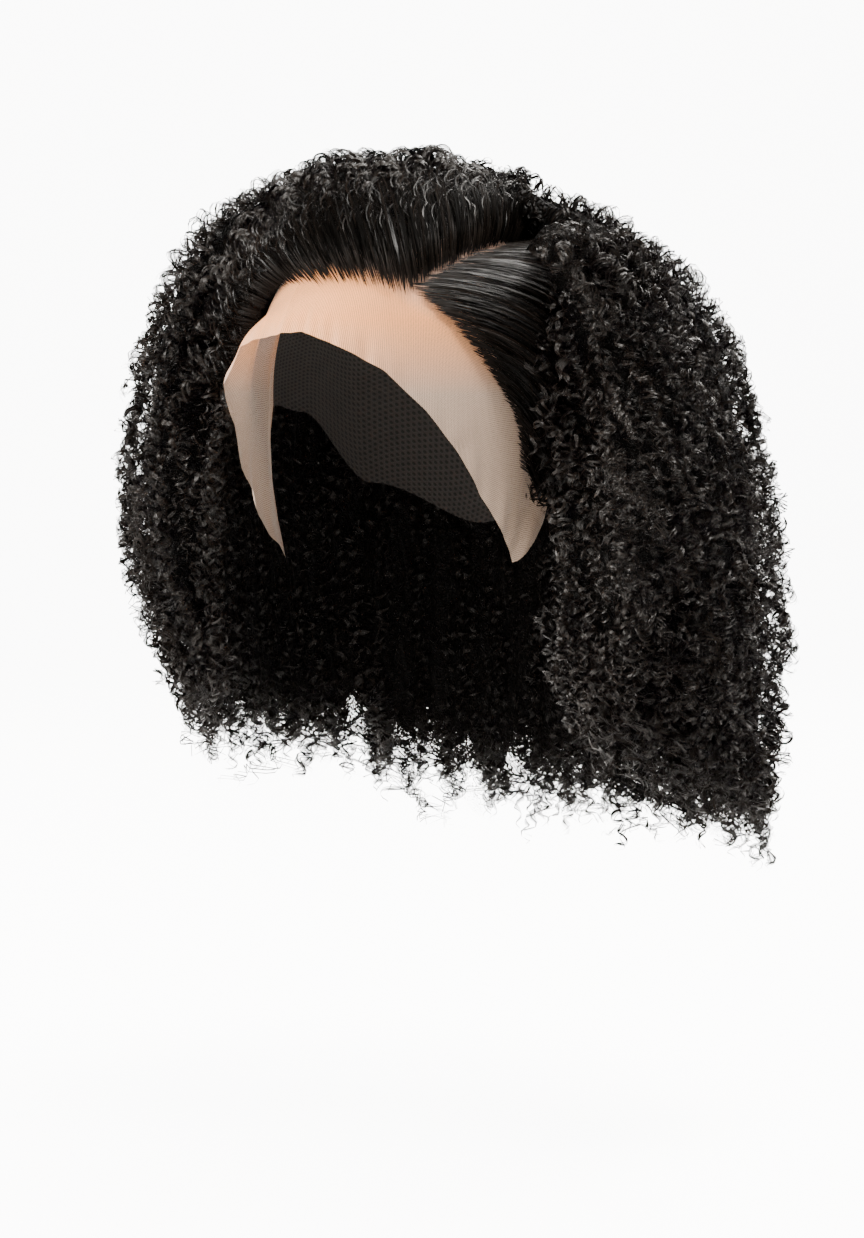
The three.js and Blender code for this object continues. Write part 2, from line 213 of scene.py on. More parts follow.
class WigHairSettings(bpy.types.PropertyGroup):
    """Sizes and colours of the hair."""

    fullness: bpy.props.FloatProperty(
        name="Fullness",
        description="Number of curls and strands, as a share of the full count",
        default=1.0,
        min=0.05,
        max=1.0,
        subtype="FACTOR",
    )
    coil_radius: bpy.props.FloatProperty(
        name="Coil radius",
        description="Mean radius of a curl, from its middle line to the strand",
        default=0.0025,
        unit="LENGTH",
    )
    coil_pitch: bpy.props.FloatProperty(
        name="Coil pitch",
        description="Mean length of a curl for one turn",
        default=0.0085,
        unit="LENGTH",
    )
    lock_width: bpy.props.FloatProperty(
        name="Lock width",
        description="Mean width of a flat lock of hairs",
        default=0.0021,
        unit="LENGTH",
    )
    strand_width: bpy.props.FloatProperty(
        name="Strand width",
        description="Mean width of a thin strand",
        default=0.0007,
        unit="LENGTH",
    )
    dark: bpy.props.FloatVectorProperty(
        name="Dark",
        description="Colour of the hair deep in the mass",
        default=(0.0014, 0.0012, 0.0010),
        subtype="COLOR",
    )
    # Painted sheen and shade: besides the random streaks, the light colour shows more on hair painted
    # lighter and less on deep and inner hair painted darker
    light: bpy.props.FloatVectorProperty(
        name="Light",
        description="Colour of the hair where it is thin or sun-warmed",
        default=(0.0100, 0.0070, 0.0052),
        subtype="COLOR",
    )
    seed: bpy.props.IntProperty(
        name="Seed",
        description="Start of the random numbers that place the hair",
        default=7,
    )


class WigCapSettings(bpy.types.PropertyGroup):
    """Sizes and colours of the lace and the net cap."""

    mesh_pitch: bpy.props.FloatProperty(
        name="Mesh pitch",
        description="Distance between neighbouring threads of the lace",
        default=0.0006,
        unit="LENGTH",
    )
    lace_colour: bpy.props.FloatVectorProperty(
        name="Lace colour",
        description="Colour of the lace's threads",
        default=(1.0, 0.38, 0.11),
        subtype="COLOR",
    )
    cap_pitch: bpy.props.FloatProperty(
        name="Cap pitch",
        description="Distance between neighbouring threads of the cap's net",
        default=0.0022,
        unit="LENGTH",
    )
    cap_colour: bpy.props.FloatVectorProperty(
        name="Cap colour",
        description="Colour of the cap's threads",
        default=(0.012, 0.010, 0.009),
        subtype="COLOR",
    )


class WigStageSettings(bpy.types.PropertyGroup):
    """Floor, camera and light."""

    floor_height: bpy.props.FloatProperty(
        name="Floor height",
        description="Height of the floor in the part's frame",
        default=-0.365,
        unit="LENGTH",
    )
    floor_colour: bpy.props.FloatVectorProperty(
        name="Floor colour",
        description="Colour of the floor and the sweep behind it",
        default=(0.86, 0.86, 0.855),
        subtype="COLOR",
    )
    floor_glow: bpy.props.FloatProperty(
        name="Floor glow",
        description="Light that the floor and sweep add for the camera, as an overexposed backdrop does",
        default=9.0,
    )
    dim_light: bpy.props.FloatProperty(
        name="Dim light",
        description="Strength of the light from all round",
        default=0.09,
    )
    camera_turn: bpy.props.FloatProperty(
        name="Camera turn",
        description="Turn of the camera from the face towards the wearer's left",
        default=math.radians(24),
        subtype="ANGLE",
    )
    camera_rise: bpy.props.FloatProperty(
        name="Camera rise",
        description="Angle of the camera above the horizon",
        default=math.radians(4),
        subtype="ANGLE",
    )
    camera_distance: bpy.props.FloatProperty(
        name="Camera distance",
        description="Distance from the camera to the middle of the part",
        default=1.8,
        unit="LENGTH",
    )


def unit(vectors):
    """Vectors divided by their lengths."""
    return vectors / np.maximum(np.linalg.norm(vectors, axis=-1, keepdims=True), 1e-12)


def smooth(value, low, high):
    """Smoothstep: 0 below low, 1 above high, 3f^2 - 2f^3 between."""
    f = np.clip((value - low) / (high - low), 0, 1)
    return f * f * (3 - 2 * f)


def even_pairs(count, start):
    """Pairs in the unit square, spread evenly: multiples of 1/g and 1/g^2, modulo 1, with g^3 = g + 1."""
    g = 1.32471795724474602596
    steps = np.arange(count)[:, None] * np.array([1 / g, 1 / g**2])
    return (start + steps) % 1


def rows_at(table, azimuth, ease=True):
    """Rows of a table at any azimuth: the rows on both sides, blended in a straight line or eased."""
    knots = table[:, 0]
    azimuth = np.clip(azimuth, knots[0], knots[-1])
    low = np.clip(np.searchsorted(knots, azimuth, side="right") - 1, 0, len(knots) - 2)
    f = (azimuth - knots[low]) / (knots[low + 1] - knots[low])
    f = (smooth(f, 0, 1) if ease else f)[..., None]
    return table[low, 1:] * (1 - f) + table[low + 1, 1:] * f


def curve_through(knots, place):
    """Uniform Catmull-Rom curve. knots is (..., k, d), place is (...) from 0 to k - 1."""
    last = knots.shape[-2] - 1
    low = np.clip(place.astype(int), 0, last - 1)
    f = (place - low)[..., None]

    def pick(index):
        index = np.clip(index, 0, last)[..., None, None]
        return np.take_along_axis(knots, index, axis=-2)[..., 0, :]

    p0, p1, p2, p3 = pick(low - 1), pick(low), pick(low + 1), pick(low + 2)
    m1 = (p2 - p0) / 2
    m2 = (p3 - p1) / 2
    return p1 + f * m1 + f**2 * (3 * (p2 - p1) - 2 * m1 - m2) + f**3 * (2 * (p1 - p2) + m1 + m2)


def cap_point(azimuth, polar, lift):
    """Cap form, an egg-shaped ellipsoid, by azimuth in degrees and polar angle, lifted by mm."""
    a = np.radians(azimuth)
    reach = np.where(polar < np.pi / 2, CROWN_HEIGHT, NAPE_REACH)
    across = (CAP_HALF_WIDTH + lift) * np.sin(polar) * np.sin(a) * (1 - EGG * np.cos(a))
    deep = -(CAP_HALF_DEPTH + lift) * np.sin(polar) * np.cos(a)
    return np.stack([across, deep, (reach + lift) * np.cos(polar)], -1) * MM


def polar_at(height):
    """Polar angle of the cap form at a height in mm."""
    return np.arccos(np.clip(height / np.where(height > 0, CROWN_HEIGHT, NAPE_REACH), -1, 1))


def cap_share(points, lift):
    """How far out points lie: 1 on an ellipsoid with the cap form's half sizes, lifted by mm."""
    half_sizes = np.array([CAP_HALF_WIDTH, CAP_HALF_DEPTH, CROWN_HEIGHT]) + lift
    return np.sqrt(((points / MM / half_sizes) ** 2).sum(-1, keepdims=True))


def outer_form(azimuth, share):
    """Outside of the hanging hair: its profile at the azimuth, turned about the vertical.

    The profile is a curve through the crown's top and the row's four points. A share of more than 1
    goes on straight down from the tip.
    """
    azimuth, share = np.broadcast_arrays(azimuth, share)
    rows = rows_at(HAIR_PROFILE, azimuth)
    crown = np.broadcast_to([0.0, CROWN_TOP], azimuth.shape + (2,))
    knots = np.concatenate([crown, rows[..., :8]], -1).reshape(azimuth.shape + (5, 2))
    ring = curve_through(knots, np.clip(share, 0, 1) * 4)
    a = np.radians(azimuth)
    down = PAST_TIP * np.maximum(share - 1, 0)
    radius, height = ring[..., 0], ring[..., 1] - down
    return np.stack([radius * np.sin(a), -radius * np.cos(a), height], -1) * MM


def inner_form(azimuth, share):
    """Inside of the hanging hair, facing a point of the outer form.

    Above the band it is the outer point drawn towards the middle, onto the lifted cap form. Below it
    is the hollow, an ellipse, and heights shrink so that the inside ends at its own hem.
    """
    outer = outer_form(azimuth, share)
    a = np.radians(azimuth)
    band = np.linalg.norm(cap_point(azimuth, np.full_like(a, np.pi / 2), HAIR_LIFT), axis=-1)
    radius = np.hypot(outer[..., 0], outer[..., 1])
    high = outer[..., 2]
    drawn = 1 / np.sqrt((radius / band) ** 2 + (high / (CROWN_HEIGHT + HAIR_LIFT) / MM) ** 2)
    above = outer * drawn[..., None]
    rows = rows_at(HAIR_PROFILE, azimuth)
    down = np.minimum(high, 0) / (rows[..., 7] * MM)
    level = down * rows[..., 8] * MM
    polar = polar_at(np.maximum(level / MM, -NAPE_REACH))
    close = np.linalg.norm(cap_point(azimuth, polar, HAIR_LIFT)[..., :2], axis=-1)
    hollow = np.hypot(HOLLOW_HALF_WIDTH * np.sin(a), HOLLOW_HALF_DEPTH * np.cos(a)) + HOLLOW_LIFT
    open_share = smooth(-level, 0, HOLLOW_EASE * MM)
    wide = np.maximum(close, band + (hollow * MM - band) * open_share)
    below = np.stack([wide * np.sin(a), -wide * np.cos(a), level], -1)
    return np.where((high > 0)[..., None], above, below)


def share_at(azimuth, length):
    """Share of the profile at each length along it. azimuth is (n), length (n, m), in metres."""
    shares = np.linspace(0, 1, PROFILE_STEPS + 1)
    points = outer_form(azimuth[:, None], shares[None, :])
    runs = np.cumsum(np.linalg.norm(np.diff(points, axis=1), axis=-1), axis=1)
    runs = np.concatenate([np.zeros((len(azimuth), 1)), runs], 1)
    passed = (runs[:, None, :] <= length[..., None]).sum(-1)
    low = np.clip(passed - 1, 0, PROFILE_STEPS - 1)
    start = np.take_along_axis(runs, low, 1)
    step = np.take_along_axis(runs, low + 1, 1) - start
    inside = shares[low] + np.clip((length - start) / step, 0, 1) / PROFILE_STEPS
    past = length - runs[:, -1:]
    return np.where(past > 0, 1 + past / (PAST_TIP * MM), inside)


def profile_length(azimuth):
    """Length of the outer form's profile at each azimuth, in metres."""
    points = outer_form(azimuth[:, None], np.linspace(0, 1, PROFILE_STEPS + 1)[None, :])
    return np.linalg.norm(np.diff(points, axis=1), axis=-1).sum(1)


class Surfaces:
    """Meshes as whole arrays, gathered to be joined in one object."""

    def __init__(self):
        self.points = []
        self.faces = []
        self.maps = []
        self.tones = []
        self.finishes = []
        self.count = 0

    def add(self, points, faces, maps, tones, finish=MAIN):
        """Points (n, 3), faces as rows of point numbers, a UV for each corner, a tone for each point.

        finish is the number of the faces' material.
        """
        self.faces.append(faces + self.count)
        self.maps.append(maps)
        self.finishes.append(np.full(len(faces), finish))
        self.points.append(points)
        self.tones.append(tones)
        self.count += len(points)

    def made(self, name, *materials):
        """One object from everything gathered, with a UV map and a tone attribute."""
        mesh = bpy.data.meshes.new(name)
        points = np.concatenate(self.points).astype(np.float32)
        corners = np.concatenate([face.ravel() for face in self.faces]).astype(np.int32)
        sizes = np.concatenate([np.full(len(face), face.shape[1]) for face in self.faces])
        starts = np.concatenate([[0], np.cumsum(sizes)[:-1]]).astype(np.int32)
        mesh.vertices.add(len(points))
        mesh.vertices.foreach_set("co", points.ravel())
        mesh.loops.add(len(corners))
        mesh.loops.foreach_set("vertex_index", corners)
        mesh.polygons.add(len(sizes))
        mesh.polygons.foreach_set("loop_start", starts)
        mesh.polygons.foreach_set("use_smooth", np.ones(len(sizes), bool))
        layer = mesh.uv_layers.new(name="strand")
        uv = np.concatenate([m.reshape(-1, 2) for m in self.maps]).astype(np.float32)
        layer.data.foreach_set("uv", uv.ravel())
        tone = mesh.attributes.new("tone", "FLOAT", "POINT")
        tone.data.foreach_set("value", np.concatenate(self.tones).astype(np.float32))
        for material in materials:
            mesh.materials.append(material)
        mesh.polygons.foreach_set("material_index", np.concatenate(self.finishes).astype(np.int32))
        mesh.update(calc_edges=True)
        piece = bpy.data.objects.new(name, mesh)
        bpy.context.scene.collection.objects.link(piece)
        return piece


def add_strands(gathered, path, face, width, tone, taper=(0.04, 0.12), finish=MAIN):
    """Flat strands along paths (n, m, 3), facing along face (n, m, 3).

    The edges lie half the width to both sides of the path, across it and the facing. Both ends narrow
    over the taper's shares of the length. The UV map holds the way across, with the strands set apart,
    and the way along, in metres. tone is (n).
    """
    n, m = path.shape[:2]
    share = np.linspace(0, 1, m)[None, :]
    narrow = np.clip(np.minimum(share / taper[0], (1 - share) / taper[1]), NARROWEST, 1)
    along = unit(np.gradient(path, axis=1))
    across = unit(np.cross(along, face))
    half = np.asarray(width).reshape(n, 1) / 2 * narrow
    aside = across * half[..., None]
    points = np.stack([path + aside, path - aside], 2).reshape(-1, 3)
    index = np.arange(n * m * 2).reshape(n, m, 2)
    first, second = index[..., 0], index[..., 1]
    faces = np.stack([first[:, :-1], first[:, 1:], second[:, 1:], second[:, :-1]], -1)
    steps = np.linalg.norm(np.diff(path, axis=1), axis=-1)
    run = np.concatenate([np.zeros((n, 1)), np.cumsum(steps, 1)], 1)
    middle = np.arange(n)[:, None] * MAP_STEP
    left = np.stack([middle - half, run], -1)
    right = np.stack([middle + half, run], -1)
    maps = np.stack([left[:, :-1], left[:, 1:], right[:, 1:], right[:, :-1]], 2)
    tones = np.repeat(tone, m * 2)
    gathered.add(points, faces.reshape(-1, 4), maps.reshape(-1, 4, 2), tones, finish)


def add_shell(gathered, outside, inside, tone, finish=MAIN):
    """Closed shell between two grids (columns, rows, 3): down the outside, up the inside.

    The first and last columns meet halfway between the grids. tone is one for all rows, or (rows).
    """
    middle = (outside[[0, -1]] + inside[[0, -1]]) / 2
    outer = np.concatenate([middle[:1], outside, middle[1:]])
    inner = np.concatenate([middle[:1], inside, middle[1:]])
    loop = np.concatenate([outer, inner[:, ::-1]], 1)
    tone = np.broadcast_to(tone, outside.shape[1])
    add_grid(gathered, loop, np.concatenate([tone, tone[::-1]]), wrapped=True, finish=finish)


def cell_triangles(values):
    """Values of a grid (columns, rows, ...) at the corners of two triangles for each of its cells."""
    a, b, c, d = values[:-1, :-1], values[:-1, 1:], values[1:, 1:], values[1:, :-1]
    halves = np.stack([a, b, c], 2), np.stack([a, c, d], 2)
    return np.concatenate([half.reshape(-1, *half.shape[2:]) for half in halves])


def add_grid(gathered, grid, tone, wrapped=False, finish=MAIN):
    """Triangles of a grid of points (columns, rows, 3), closed round its rows where wrapped.

    The UV map holds the mean way along the columns and the rows, in metres. tone is for all points,
    for the rows, or for each point. Equal points are merged, and triangles that shrink to nothing are
    left out.
    """
    columns, rows = grid.shape[:2]
    index = np.arange(columns * rows).reshape(columns, rows)
    if wrapped:
        index = np.concatenate([index, index[:, :1]], 1)
    across = np.linalg.norm(np.diff(grid, axis=0), axis=-1).mean(1)
    down = np.linalg.norm(np.diff(grid, axis=1), axis=-1).mean(0)
    u = np.concatenate([[0], np.cumsum(across)])
    v = np.concatenate([[0], np.cumsum(down), [down.sum() + down.mean()]])[:index.shape[1]]
    maps = cell_triangles(np.stack(np.meshgrid(u, v, indexing="ij"), -1))
    rounded = np.round(grid.reshape(-1, 3), 7)
    points, first, place = np.unique(rounded, axis=0, return_index=True, return_inverse=True)
    tones = np.broadcast_to(tone, (columns, rows)).reshape(-1)[first]
    triangles = place.reshape(-1)[cell_triangles(index)]
    whole = (triangles != np.roll(triangles, 1, axis=1)).all(1)
    gathered.add(points, triangles[whole], maps[whole], tones, finish)


def coiled(centre, out, radius, pitch, phase, hand):
    """Coils round middle lines: radius x (cos turn x out + sin turn x side), one turn each pitch.

    Returns the coils and the directions away from their middle lines.
    """
    steps = np.linalg.norm(np.diff(centre, axis=1), axis=-1)
    run = np.concatenate([np.zeros((len(centre), 1)), np.cumsum(steps, 1)], 1)
    along = unit(np.gradient(centre, axis=1))
    side = unit(np.cross(along, out))
    front = np.cross(side, along)
    turn = (phase[:, None] + hand[:, None] * 2 * np.pi * run / pitch[:, None])[..., None]
    ring = np.cos(turn) * front + np.sin(turn) * side
    return centre + radius[..., None] * ring, ring


def hem_step(azimuth):
    """How much longer or shorter than the profile the hair is at an azimuth, in metres: two sines."""
    return 0.004 * np.sin(azimuth * 0.83 + 1) + 0.006 * np.sin(azimuth * 0.37)


def crown_gap(azimuth):
    """Share of the profile over the hanging hair: 0.03, and 0.26 where sleek hair covers the crown."""
    return 0.26 - 0.23 * smooth(azimuth, 98, 118)


def lumps(azimuth, share):
    """Height of the locks' relief on the outer form, in metres: waves across and along, out of step."""
    across = np.sin(azimuth * 0.62 + 3 * np.sin(share * 9 + azimuth * 0.05))
    along = np.sin(share * 41 + 2.5 * np.sin(azimuth * 0.21))
    return 0.0022 * across * along + 0.0016 * np.sin(azimuth * 0.29 + share * 17)


def slow_coil(rng, lines, out, radius):
    """Lines that coil slowly round the given ones, one turn each 20 to 32 mm."""
    n = len(lines)
    hand = rng.choice([-1.0, 1.0], n)
    pitch = rng.uniform(0.02, 0.032, n)
    phase = rng.uniform(0, 6, n)
    return coiled(lines, out, np.full((n, 1), radius), pitch, phase, hand)[0]


def mass_lines(rng, azimuth, start, depth, length, steps, inside=False, drift=4.0, tip=(-0.016, 0.006)):
    """Middle lines of curls in the hanging mass, and the directions out of it.

    A line starts at a length along the profile and runs down it. It sways in azimuth as a slow
    sine, closes in on the middle of its lock towards the hem, and lies at a depth under the outer
    form, which waves by 1 mm, or over the inner form. depth is (n, 2), at the start and at the end.
    tip is the range of the lines' lowest ends, past the profile's.
    """
    n = len(azimuth)
    t = np.linspace(0, 1, steps + 1)[None, :]
    whole = profile_length(azimuth)
    tips = whole + hem_step(azimuth) + rng.uniform(*tip, n)
    start = np.clip(start, crown_gap(azimuth) * whole, tips - length)
    waves = rng.uniform(0.4, 1.3, (n, 1))
    shift = rng.uniform(0, 2 * np.pi, (n, 1))
    sway = drift * rng.normal(0, 1, (n, 1)) * (np.sin(2 * np.pi * waves * t + shift) - np.sin(shift))
    share = share_at(azimuth, start[:, None] + length[:, None] * t)
    turned = azimuth[:, None] + sway * np.clip(share * 2, 0.3, 1)
    lock = LOCK_TURN * (np.floor(turned / LOCK_TURN) + 0.5)
    turned = turned + (lock - turned) * 0.4 * smooth(share, 0.7, 1.0)
    outer = outer_form(turned, share)
    inner = inner_form(turned, share)
    inward = inner - outer
    thick = np.linalg.norm(inward, axis=-1, keepdims=True)
    inward = inward / np.maximum(thick, 1e-6)
    deep = depth[:, :1] + (depth[:, 1:] - depth[:, :1]) * t
    deep = deep + 0.001 * np.sin(2 * np.pi * (length[:, None] * t / 0.024 + waves))
    if not inside:
        deep = deep - lumps(turned, share)
    deep = deep[..., None]
    if inside:
        return inner - inward * np.minimum(deep, thick - 0.003), inward
    return outer + inward * np.minimum(deep, np.maximum(thick - 0.009, 0.001)), -inward


def add_curls(gathered, rng, lines, out, radius, pitch, width, tone, hands=1, spread=1.0, finish=MAIN):
    """Curls of several strands each: coils that share a middle line, with nearby phases and radii.

    Each strand's middle line and radius waver as a sine along it, by 1.2 mm and by a quarter, times
    the spread. It faces away from its middle line, tilted along it by 25 to 55 degrees, so that it
    shows from any side.
    """
    n = len(lines)
    count = n * hands
    phase = np.repeat(rng.uniform(0, 2 * np.pi, n), hands) + rng.normal(0, 0.6, count)
    hand = np.repeat(rng.choice([-1.0, 1.0], n), hands)
    share = np.linspace(0, 1, lines.shape[1])[None, :]
    waver = np.sin(2 * np.pi * (rng.uniform(1.2, 3.2, (count, 1)) * share + rng.random((count, 1))))
    aside = rng.normal(0, 0.0012 * spread, (count, 1, 3))
    moved = rng.normal(0, 0.0009 * spread, (count, 1, 3))
    lines = np.repeat(lines, hands, 0) + aside * waver[..., None] + moved
    out = np.repeat(out, hands, 0)
    grow = 0.45 + 0.55 * smooth(share, 0, 0.2)
    grow = grow * (1 + 0.25 * spread * np.roll(waver, count // 2, axis=0))
    reach = np.repeat(radius, hands) * (1 + 0.2 * spread * rng.uniform(-1, 1, count))
    turns = np.repeat(pitch, hands) * (1 + 0.08 * spread * rng.uniform(-1, 1, count))
    path, ring = coiled(lines, out, reach[:, None] * grow, turns, phase, hand)
    tilt = rng.uniform(0.45, 0.95, n) * rng.choice([-1.0, 1.0], n)
    tilt = np.repeat(tilt, hands)[:, None, None]
    face = ring * np.cos(tilt) + unit(np.gradient(lines, axis=1)) * np.sin(tilt)
    wide = np.repeat(width, hands) * rng.uniform(0.6, 1.4, count)
    shade = np.repeat(tone, hands) * rng.uniform(0.4, 1.6, count)
    add_strands(gathered, path, face, wide, shade, finish=finish)


def spread_starts(count, start, from_azimuth, to_azimuth):
    """Azimuths and lengths along the profile, evenly spread over the outer form's area."""
    pairs = even_pairs(count, start)
    azimuth = from_azimuth + (to_azimuth - from_azimuth) * pairs[:, 0]
    shares = np.linspace(0, 1, 81)
    points = outer_form(np.full_like(shares, (from_azimuth + to_azimuth) / 2), shares)
    steps = np.linalg.norm(np.diff(points, axis=0), axis=-1)
    wide = np.hypot(points[:, 0], points[:, 1])
    area = np.concatenate([[0], np.cumsum(steps * (wide[1:] + wide[:-1]) / 2)])
    run = np.concatenate([[0], np.cumsum(steps)]) / steps.sum()
    return azimuth, np.interp(pairs[:, 1] * area[-1], area, run) * profile_length(azimuth)


def hanging_core(gathered, from_azimuth, to_azimuth, columns=36, rows=52):
    """Solid heart of a hanging mass, under its curls, nearly black as painted shade: a shell between the
    two forms.

    The outside lies 6 mm under the outer form and its lumps, and 13 mm low down. The inside lies 5 mm
    off the inner form. Both ripple by 1 mm, as a product of sines of azimuth and share. It ends 8 mm
    over the hem, and its tone falls to 0 there.
    """
    azimuth = np.linspace(from_azimuth, to_azimuth, columns)[:, None]
    lowest = 1 + (hem_step(azimuth) - 0.008) / profile_length(azimuth[:, 0])[:, None]
    highest = crown_gap(azimuth)
    share = highest + (lowest - highest) * np.linspace(0, 1, rows)[None, :]
    outer = outer_form(azimuth, share)
    inner = inner_form(azimuth, share)
    inward = inner - outer
    thick = np.linalg.norm(inward, axis=-1, keepdims=True)
    inward = inward / np.maximum(thick, 1e-6)
    wave = np.sin(azimuth * 1.05 + 6 * np.sin(share * 19)) * np.sin(share * 88 + 2 * np.sin(azimuth * 0.4))
    wave = wave[..., None] * 0.001
    under = 0.006 + 0.007 * smooth(share, 0.45, 0.9) - lumps(azimuth, share)
    deep = np.minimum(under[..., None] + wave, thick * 0.6)
    near = np.minimum(0.005 - wave, thick * 0.3)
    whole = 1 - smooth(np.linspace(0, 1, rows), 0.88, 1.0)
    add_shell(gathered, outer + inward * deep, inner - inward * near, whole, finish=DEEP)


def front_rows(table, place, back):
    """Roots and Bezier handles of the front hair at places along its table, on a curve through its rows.

    place runs from 0 to the number of rows less 1. back is 0 for hair from the hairline or parting,
    and grows to 1 for hair rooted behind it, which lies underneath. Hair leaves its root outwards by
    its rise and arrives at its end from above. Where it arches, it runs level first and then falls.
    """
    knots = np.broadcast_to(table, place.shape + table.shape)
    row = curve_through(knots, place)
    root_azimuth, root_height = row[..., 0], row[..., 1]
    end = row[..., 2:5] * MM
    rise = row[..., 5] * MM * (1 - 0.35 * back)
    root = cap_point(root_azimuth, polar_at(root_height), ROOT_LIFT)
    root = root - unit(end - root) * (np.interp(place, *PARTING_REACH) * MM)[..., None]
    foot = end / cap_share(end, FOOT_LIFT)
    root_behind = root + (foot - root) * (0.55 * back)[..., None]
    deep = np.minimum(cap_share(root_behind, ROOT_LIFT), 1)
    root = np.where(back[..., None] > 1e-6, root_behind / deep, root)
    end = end - unit(end) * (0.011 * back)[..., None]
    out = unit(root)
    across = end - root
    leave = root + out * (0.7 * rise)[..., None] + 0.15 * across
    arrive = end - 0.3 * across
    arrive[..., 2] += 0.35 * rise
    arch = row[..., 6:7]
    far = np.linalg.norm(across, axis=-1, keepdims=True)
    level = unit(across * np.array([1, 1, 0.15]))
    over = root + level * far * 0.42 + out * (0.35 * rise)[..., None]
    above = end + np.array([0.06, -0.1, 0.42]) * far
    return root, leave + (over - leave) * arch, arrive + (above - arrive) * arch, end


def bezier(handles, t):
    """Cubic Bezier curves: handles are four (n, 3), t is (n, m)."""
    a, b, c, d = (h[:, None, :] for h in handles)
    t = t[..., None]
    return a * (1 - t) ** 3 + 3 * b * t * (1 - t) ** 2 + 3 * c * t**2 * (1 - t) + d * t**3


def front_out(path):
    """Directions out of the front hair: across the strands, away from the middle of the cap form."""
    along = unit(np.gradient(path, axis=1))
    away = unit(path - np.array([0, 0.01, 0.0]))
    return unit(away - along * (away * along).sum(-1, keepdims=True))


def socket(group, name, way, default=None):
    """Adds a named number socket to a shader node group."""
    made = group.interface.new_socket(name=name, in_out=way, socket_type="NodeSocketFloat")
    if default is not None:
        made.default_value = default


def linked(tree, kind, **inputs):
    """A shader node with its inputs linked to sockets or set to values, by socket name or number."""
    node = tree.nodes.new(kind)
    for key, value in inputs.items():
        place = int(key[1:]) if key[0] == "i" and key[1:].isdigit() else key.replace("_", " ")
        if isinstance(value, bpy.types.NodeSocket):
            tree.links.new(value, node.inputs[place])
        else:
            node.inputs[place].default_value = value
    return node


def maths(tree, operation, first, second=0.0):
    """Output of a Math node."""
    node = linked(tree, "ShaderNodeMath", i0=first, i1=second)
    node.operation = operation
    return node.outputs[0]


def ranged(tree, value, source=(0.0, 1.0), target=(0.0, 1.0)):
    """Output of a Map Range node: a straight line from the source range to the target range."""
    node = linked(tree, "ShaderNodeMapRange", Value=value, From_Min=source[0], From_Max=source[1])
    node.inputs["To Min"].default_value = target[0]
    node.inputs["To Max"].default_value = target[1]
    return node.outputs[0]


def tinted(colour, share):
    """A colour times a share."""
    return [share * part for part in colour]


def colour_mix(tree, share, first, second):
    """Output of a Mix node between two colours, each three numbers or a socket."""
    node = tree.nodes.new("ShaderNodeMix")
    node.data_type = "RGBA"
    tree.links.new(share, node.inputs[0])
    places = [place for place in node.inputs if place.type == "RGBA"]
    for place, colour in zip(places, (first, second)):
        if isinstance(colour, bpy.types.NodeSocket):
            tree.links.new(colour, place)
        else:
            place.default_value = (*colour, 1)
    return next(place for place in node.outputs if place.type == "RGBA")


def strand_map(tree):
    """Output of a piece's own UV map, in metres."""
    node = tree.nodes.new("ShaderNodeUVMap")
    node.uv_map = "strand"
    return node.outputs[0]


def tone_of(tree):
    """Output of a piece's tone attribute."""
    node = tree.nodes.new("ShaderNodeAttribute")
    node.attribute_name = "tone"
    return node.outputs["Fac"]


def raised(tree, shader, height, strength, distance):
    """Gives a shader a bump, with its distance in metres."""
    bump = linked(tree, "ShaderNodeBump", Height=height, Strength=strength, Distance=distance)
    tree.links.new(bump.outputs[0], shader.inputs["Normal"])


def streak_group():
    """Fine hairs in a lock: noise that is stretched along the strand, and the strand's own tone.

    Across and Along are the numbers of hairs and of changes in each metre.
    """
    group = bpy.data.node_groups.new("Strand streaks", "ShaderNodeTree")
    socket(group, "Across", "INPUT", 2200.0)
    socket(group, "Along", "INPUT", 40.0)
    socket(group, "Streak", "OUTPUT")
    socket(group, "Tone", "OUTPUT")
    start = group.nodes.new("NodeGroupInput")
    end = group.nodes.new("NodeGroupOutput")
    parts = linked(group, "ShaderNodeSeparateXYZ", Vector=strand_map(group))
    u = maths(group, "MULTIPLY", parts.outputs[0], start.outputs["Across"])
    v = maths(group, "MULTIPLY", parts.outputs[1], start.outputs["Along"])
    place = linked(group, "ShaderNodeCombineXYZ", X=u, Y=v)
    noise = linked(group, "ShaderNodeTexNoise", Vector=place.outputs[0], Scale=1.0, Detail=2.0)
    noise.inputs["Roughness"].default_value = 0.6
    noise.noise_dimensions = "2D"
    group.links.new(noise.outputs[0], end.inputs["Streak"])
    group.links.new(tone_of(group), end.inputs["Tone"])
    return group


def curl_group():
    """Small curls in relief: rings of equal distance from scattered points, uneven by a noise.

    Pitch is the distance between points in metres. Ring is 1 in the middle of a ring, 0 beside it.
    """
    group = bpy.data.node_groups.new("Deep curls", "ShaderNodeTree")
    socket(group, "Pitch", "INPUT", 0.0055)
    socket(group, "Ring", "OUTPUT")
    start = group.nodes.new("NodeGroupInput")
    end = group.nodes.new("NodeGroupOutput")
    size = maths(group, "DIVIDE", 1.0, start.outputs["Pitch"])
    scaled = linked(group, "ShaderNodeVectorMath", i0=strand_map(group), i3=size)
    scaled.operation = "SCALE"
    place = scaled.outputs[0]
    noise = linked(group, "ShaderNodeTexNoise", Vector=place, Scale=1.7, Detail=2.0)
    uneven = noise.outputs["Color"]
    moved = linked(group, "ShaderNodeVectorMath", i0=uneven, i1=(0.9, 0.9, 0.0), i2=place)
    moved.operation = "MULTIPLY_ADD"
    cells = linked(group, "ShaderNodeTexVoronoi", Vector=moved.outputs[0], Scale=1.0)
    cells.voronoi_dimensions = "2D"
    saw = maths(group, "FRACT", maths(group, "MULTIPLY", cells.outputs["Distance"], 4.2))
    away = maths(group, "ABSOLUTE", maths(group, "SUBTRACT", saw, 0.5))
    ring = maths(group, "SUBTRACT", 1.0, maths(group, "MULTIPLY", away, 2.0))
    group.links.new(maths(group, "POWER", ring, 1.6), end.inputs["Ring"])
    return group


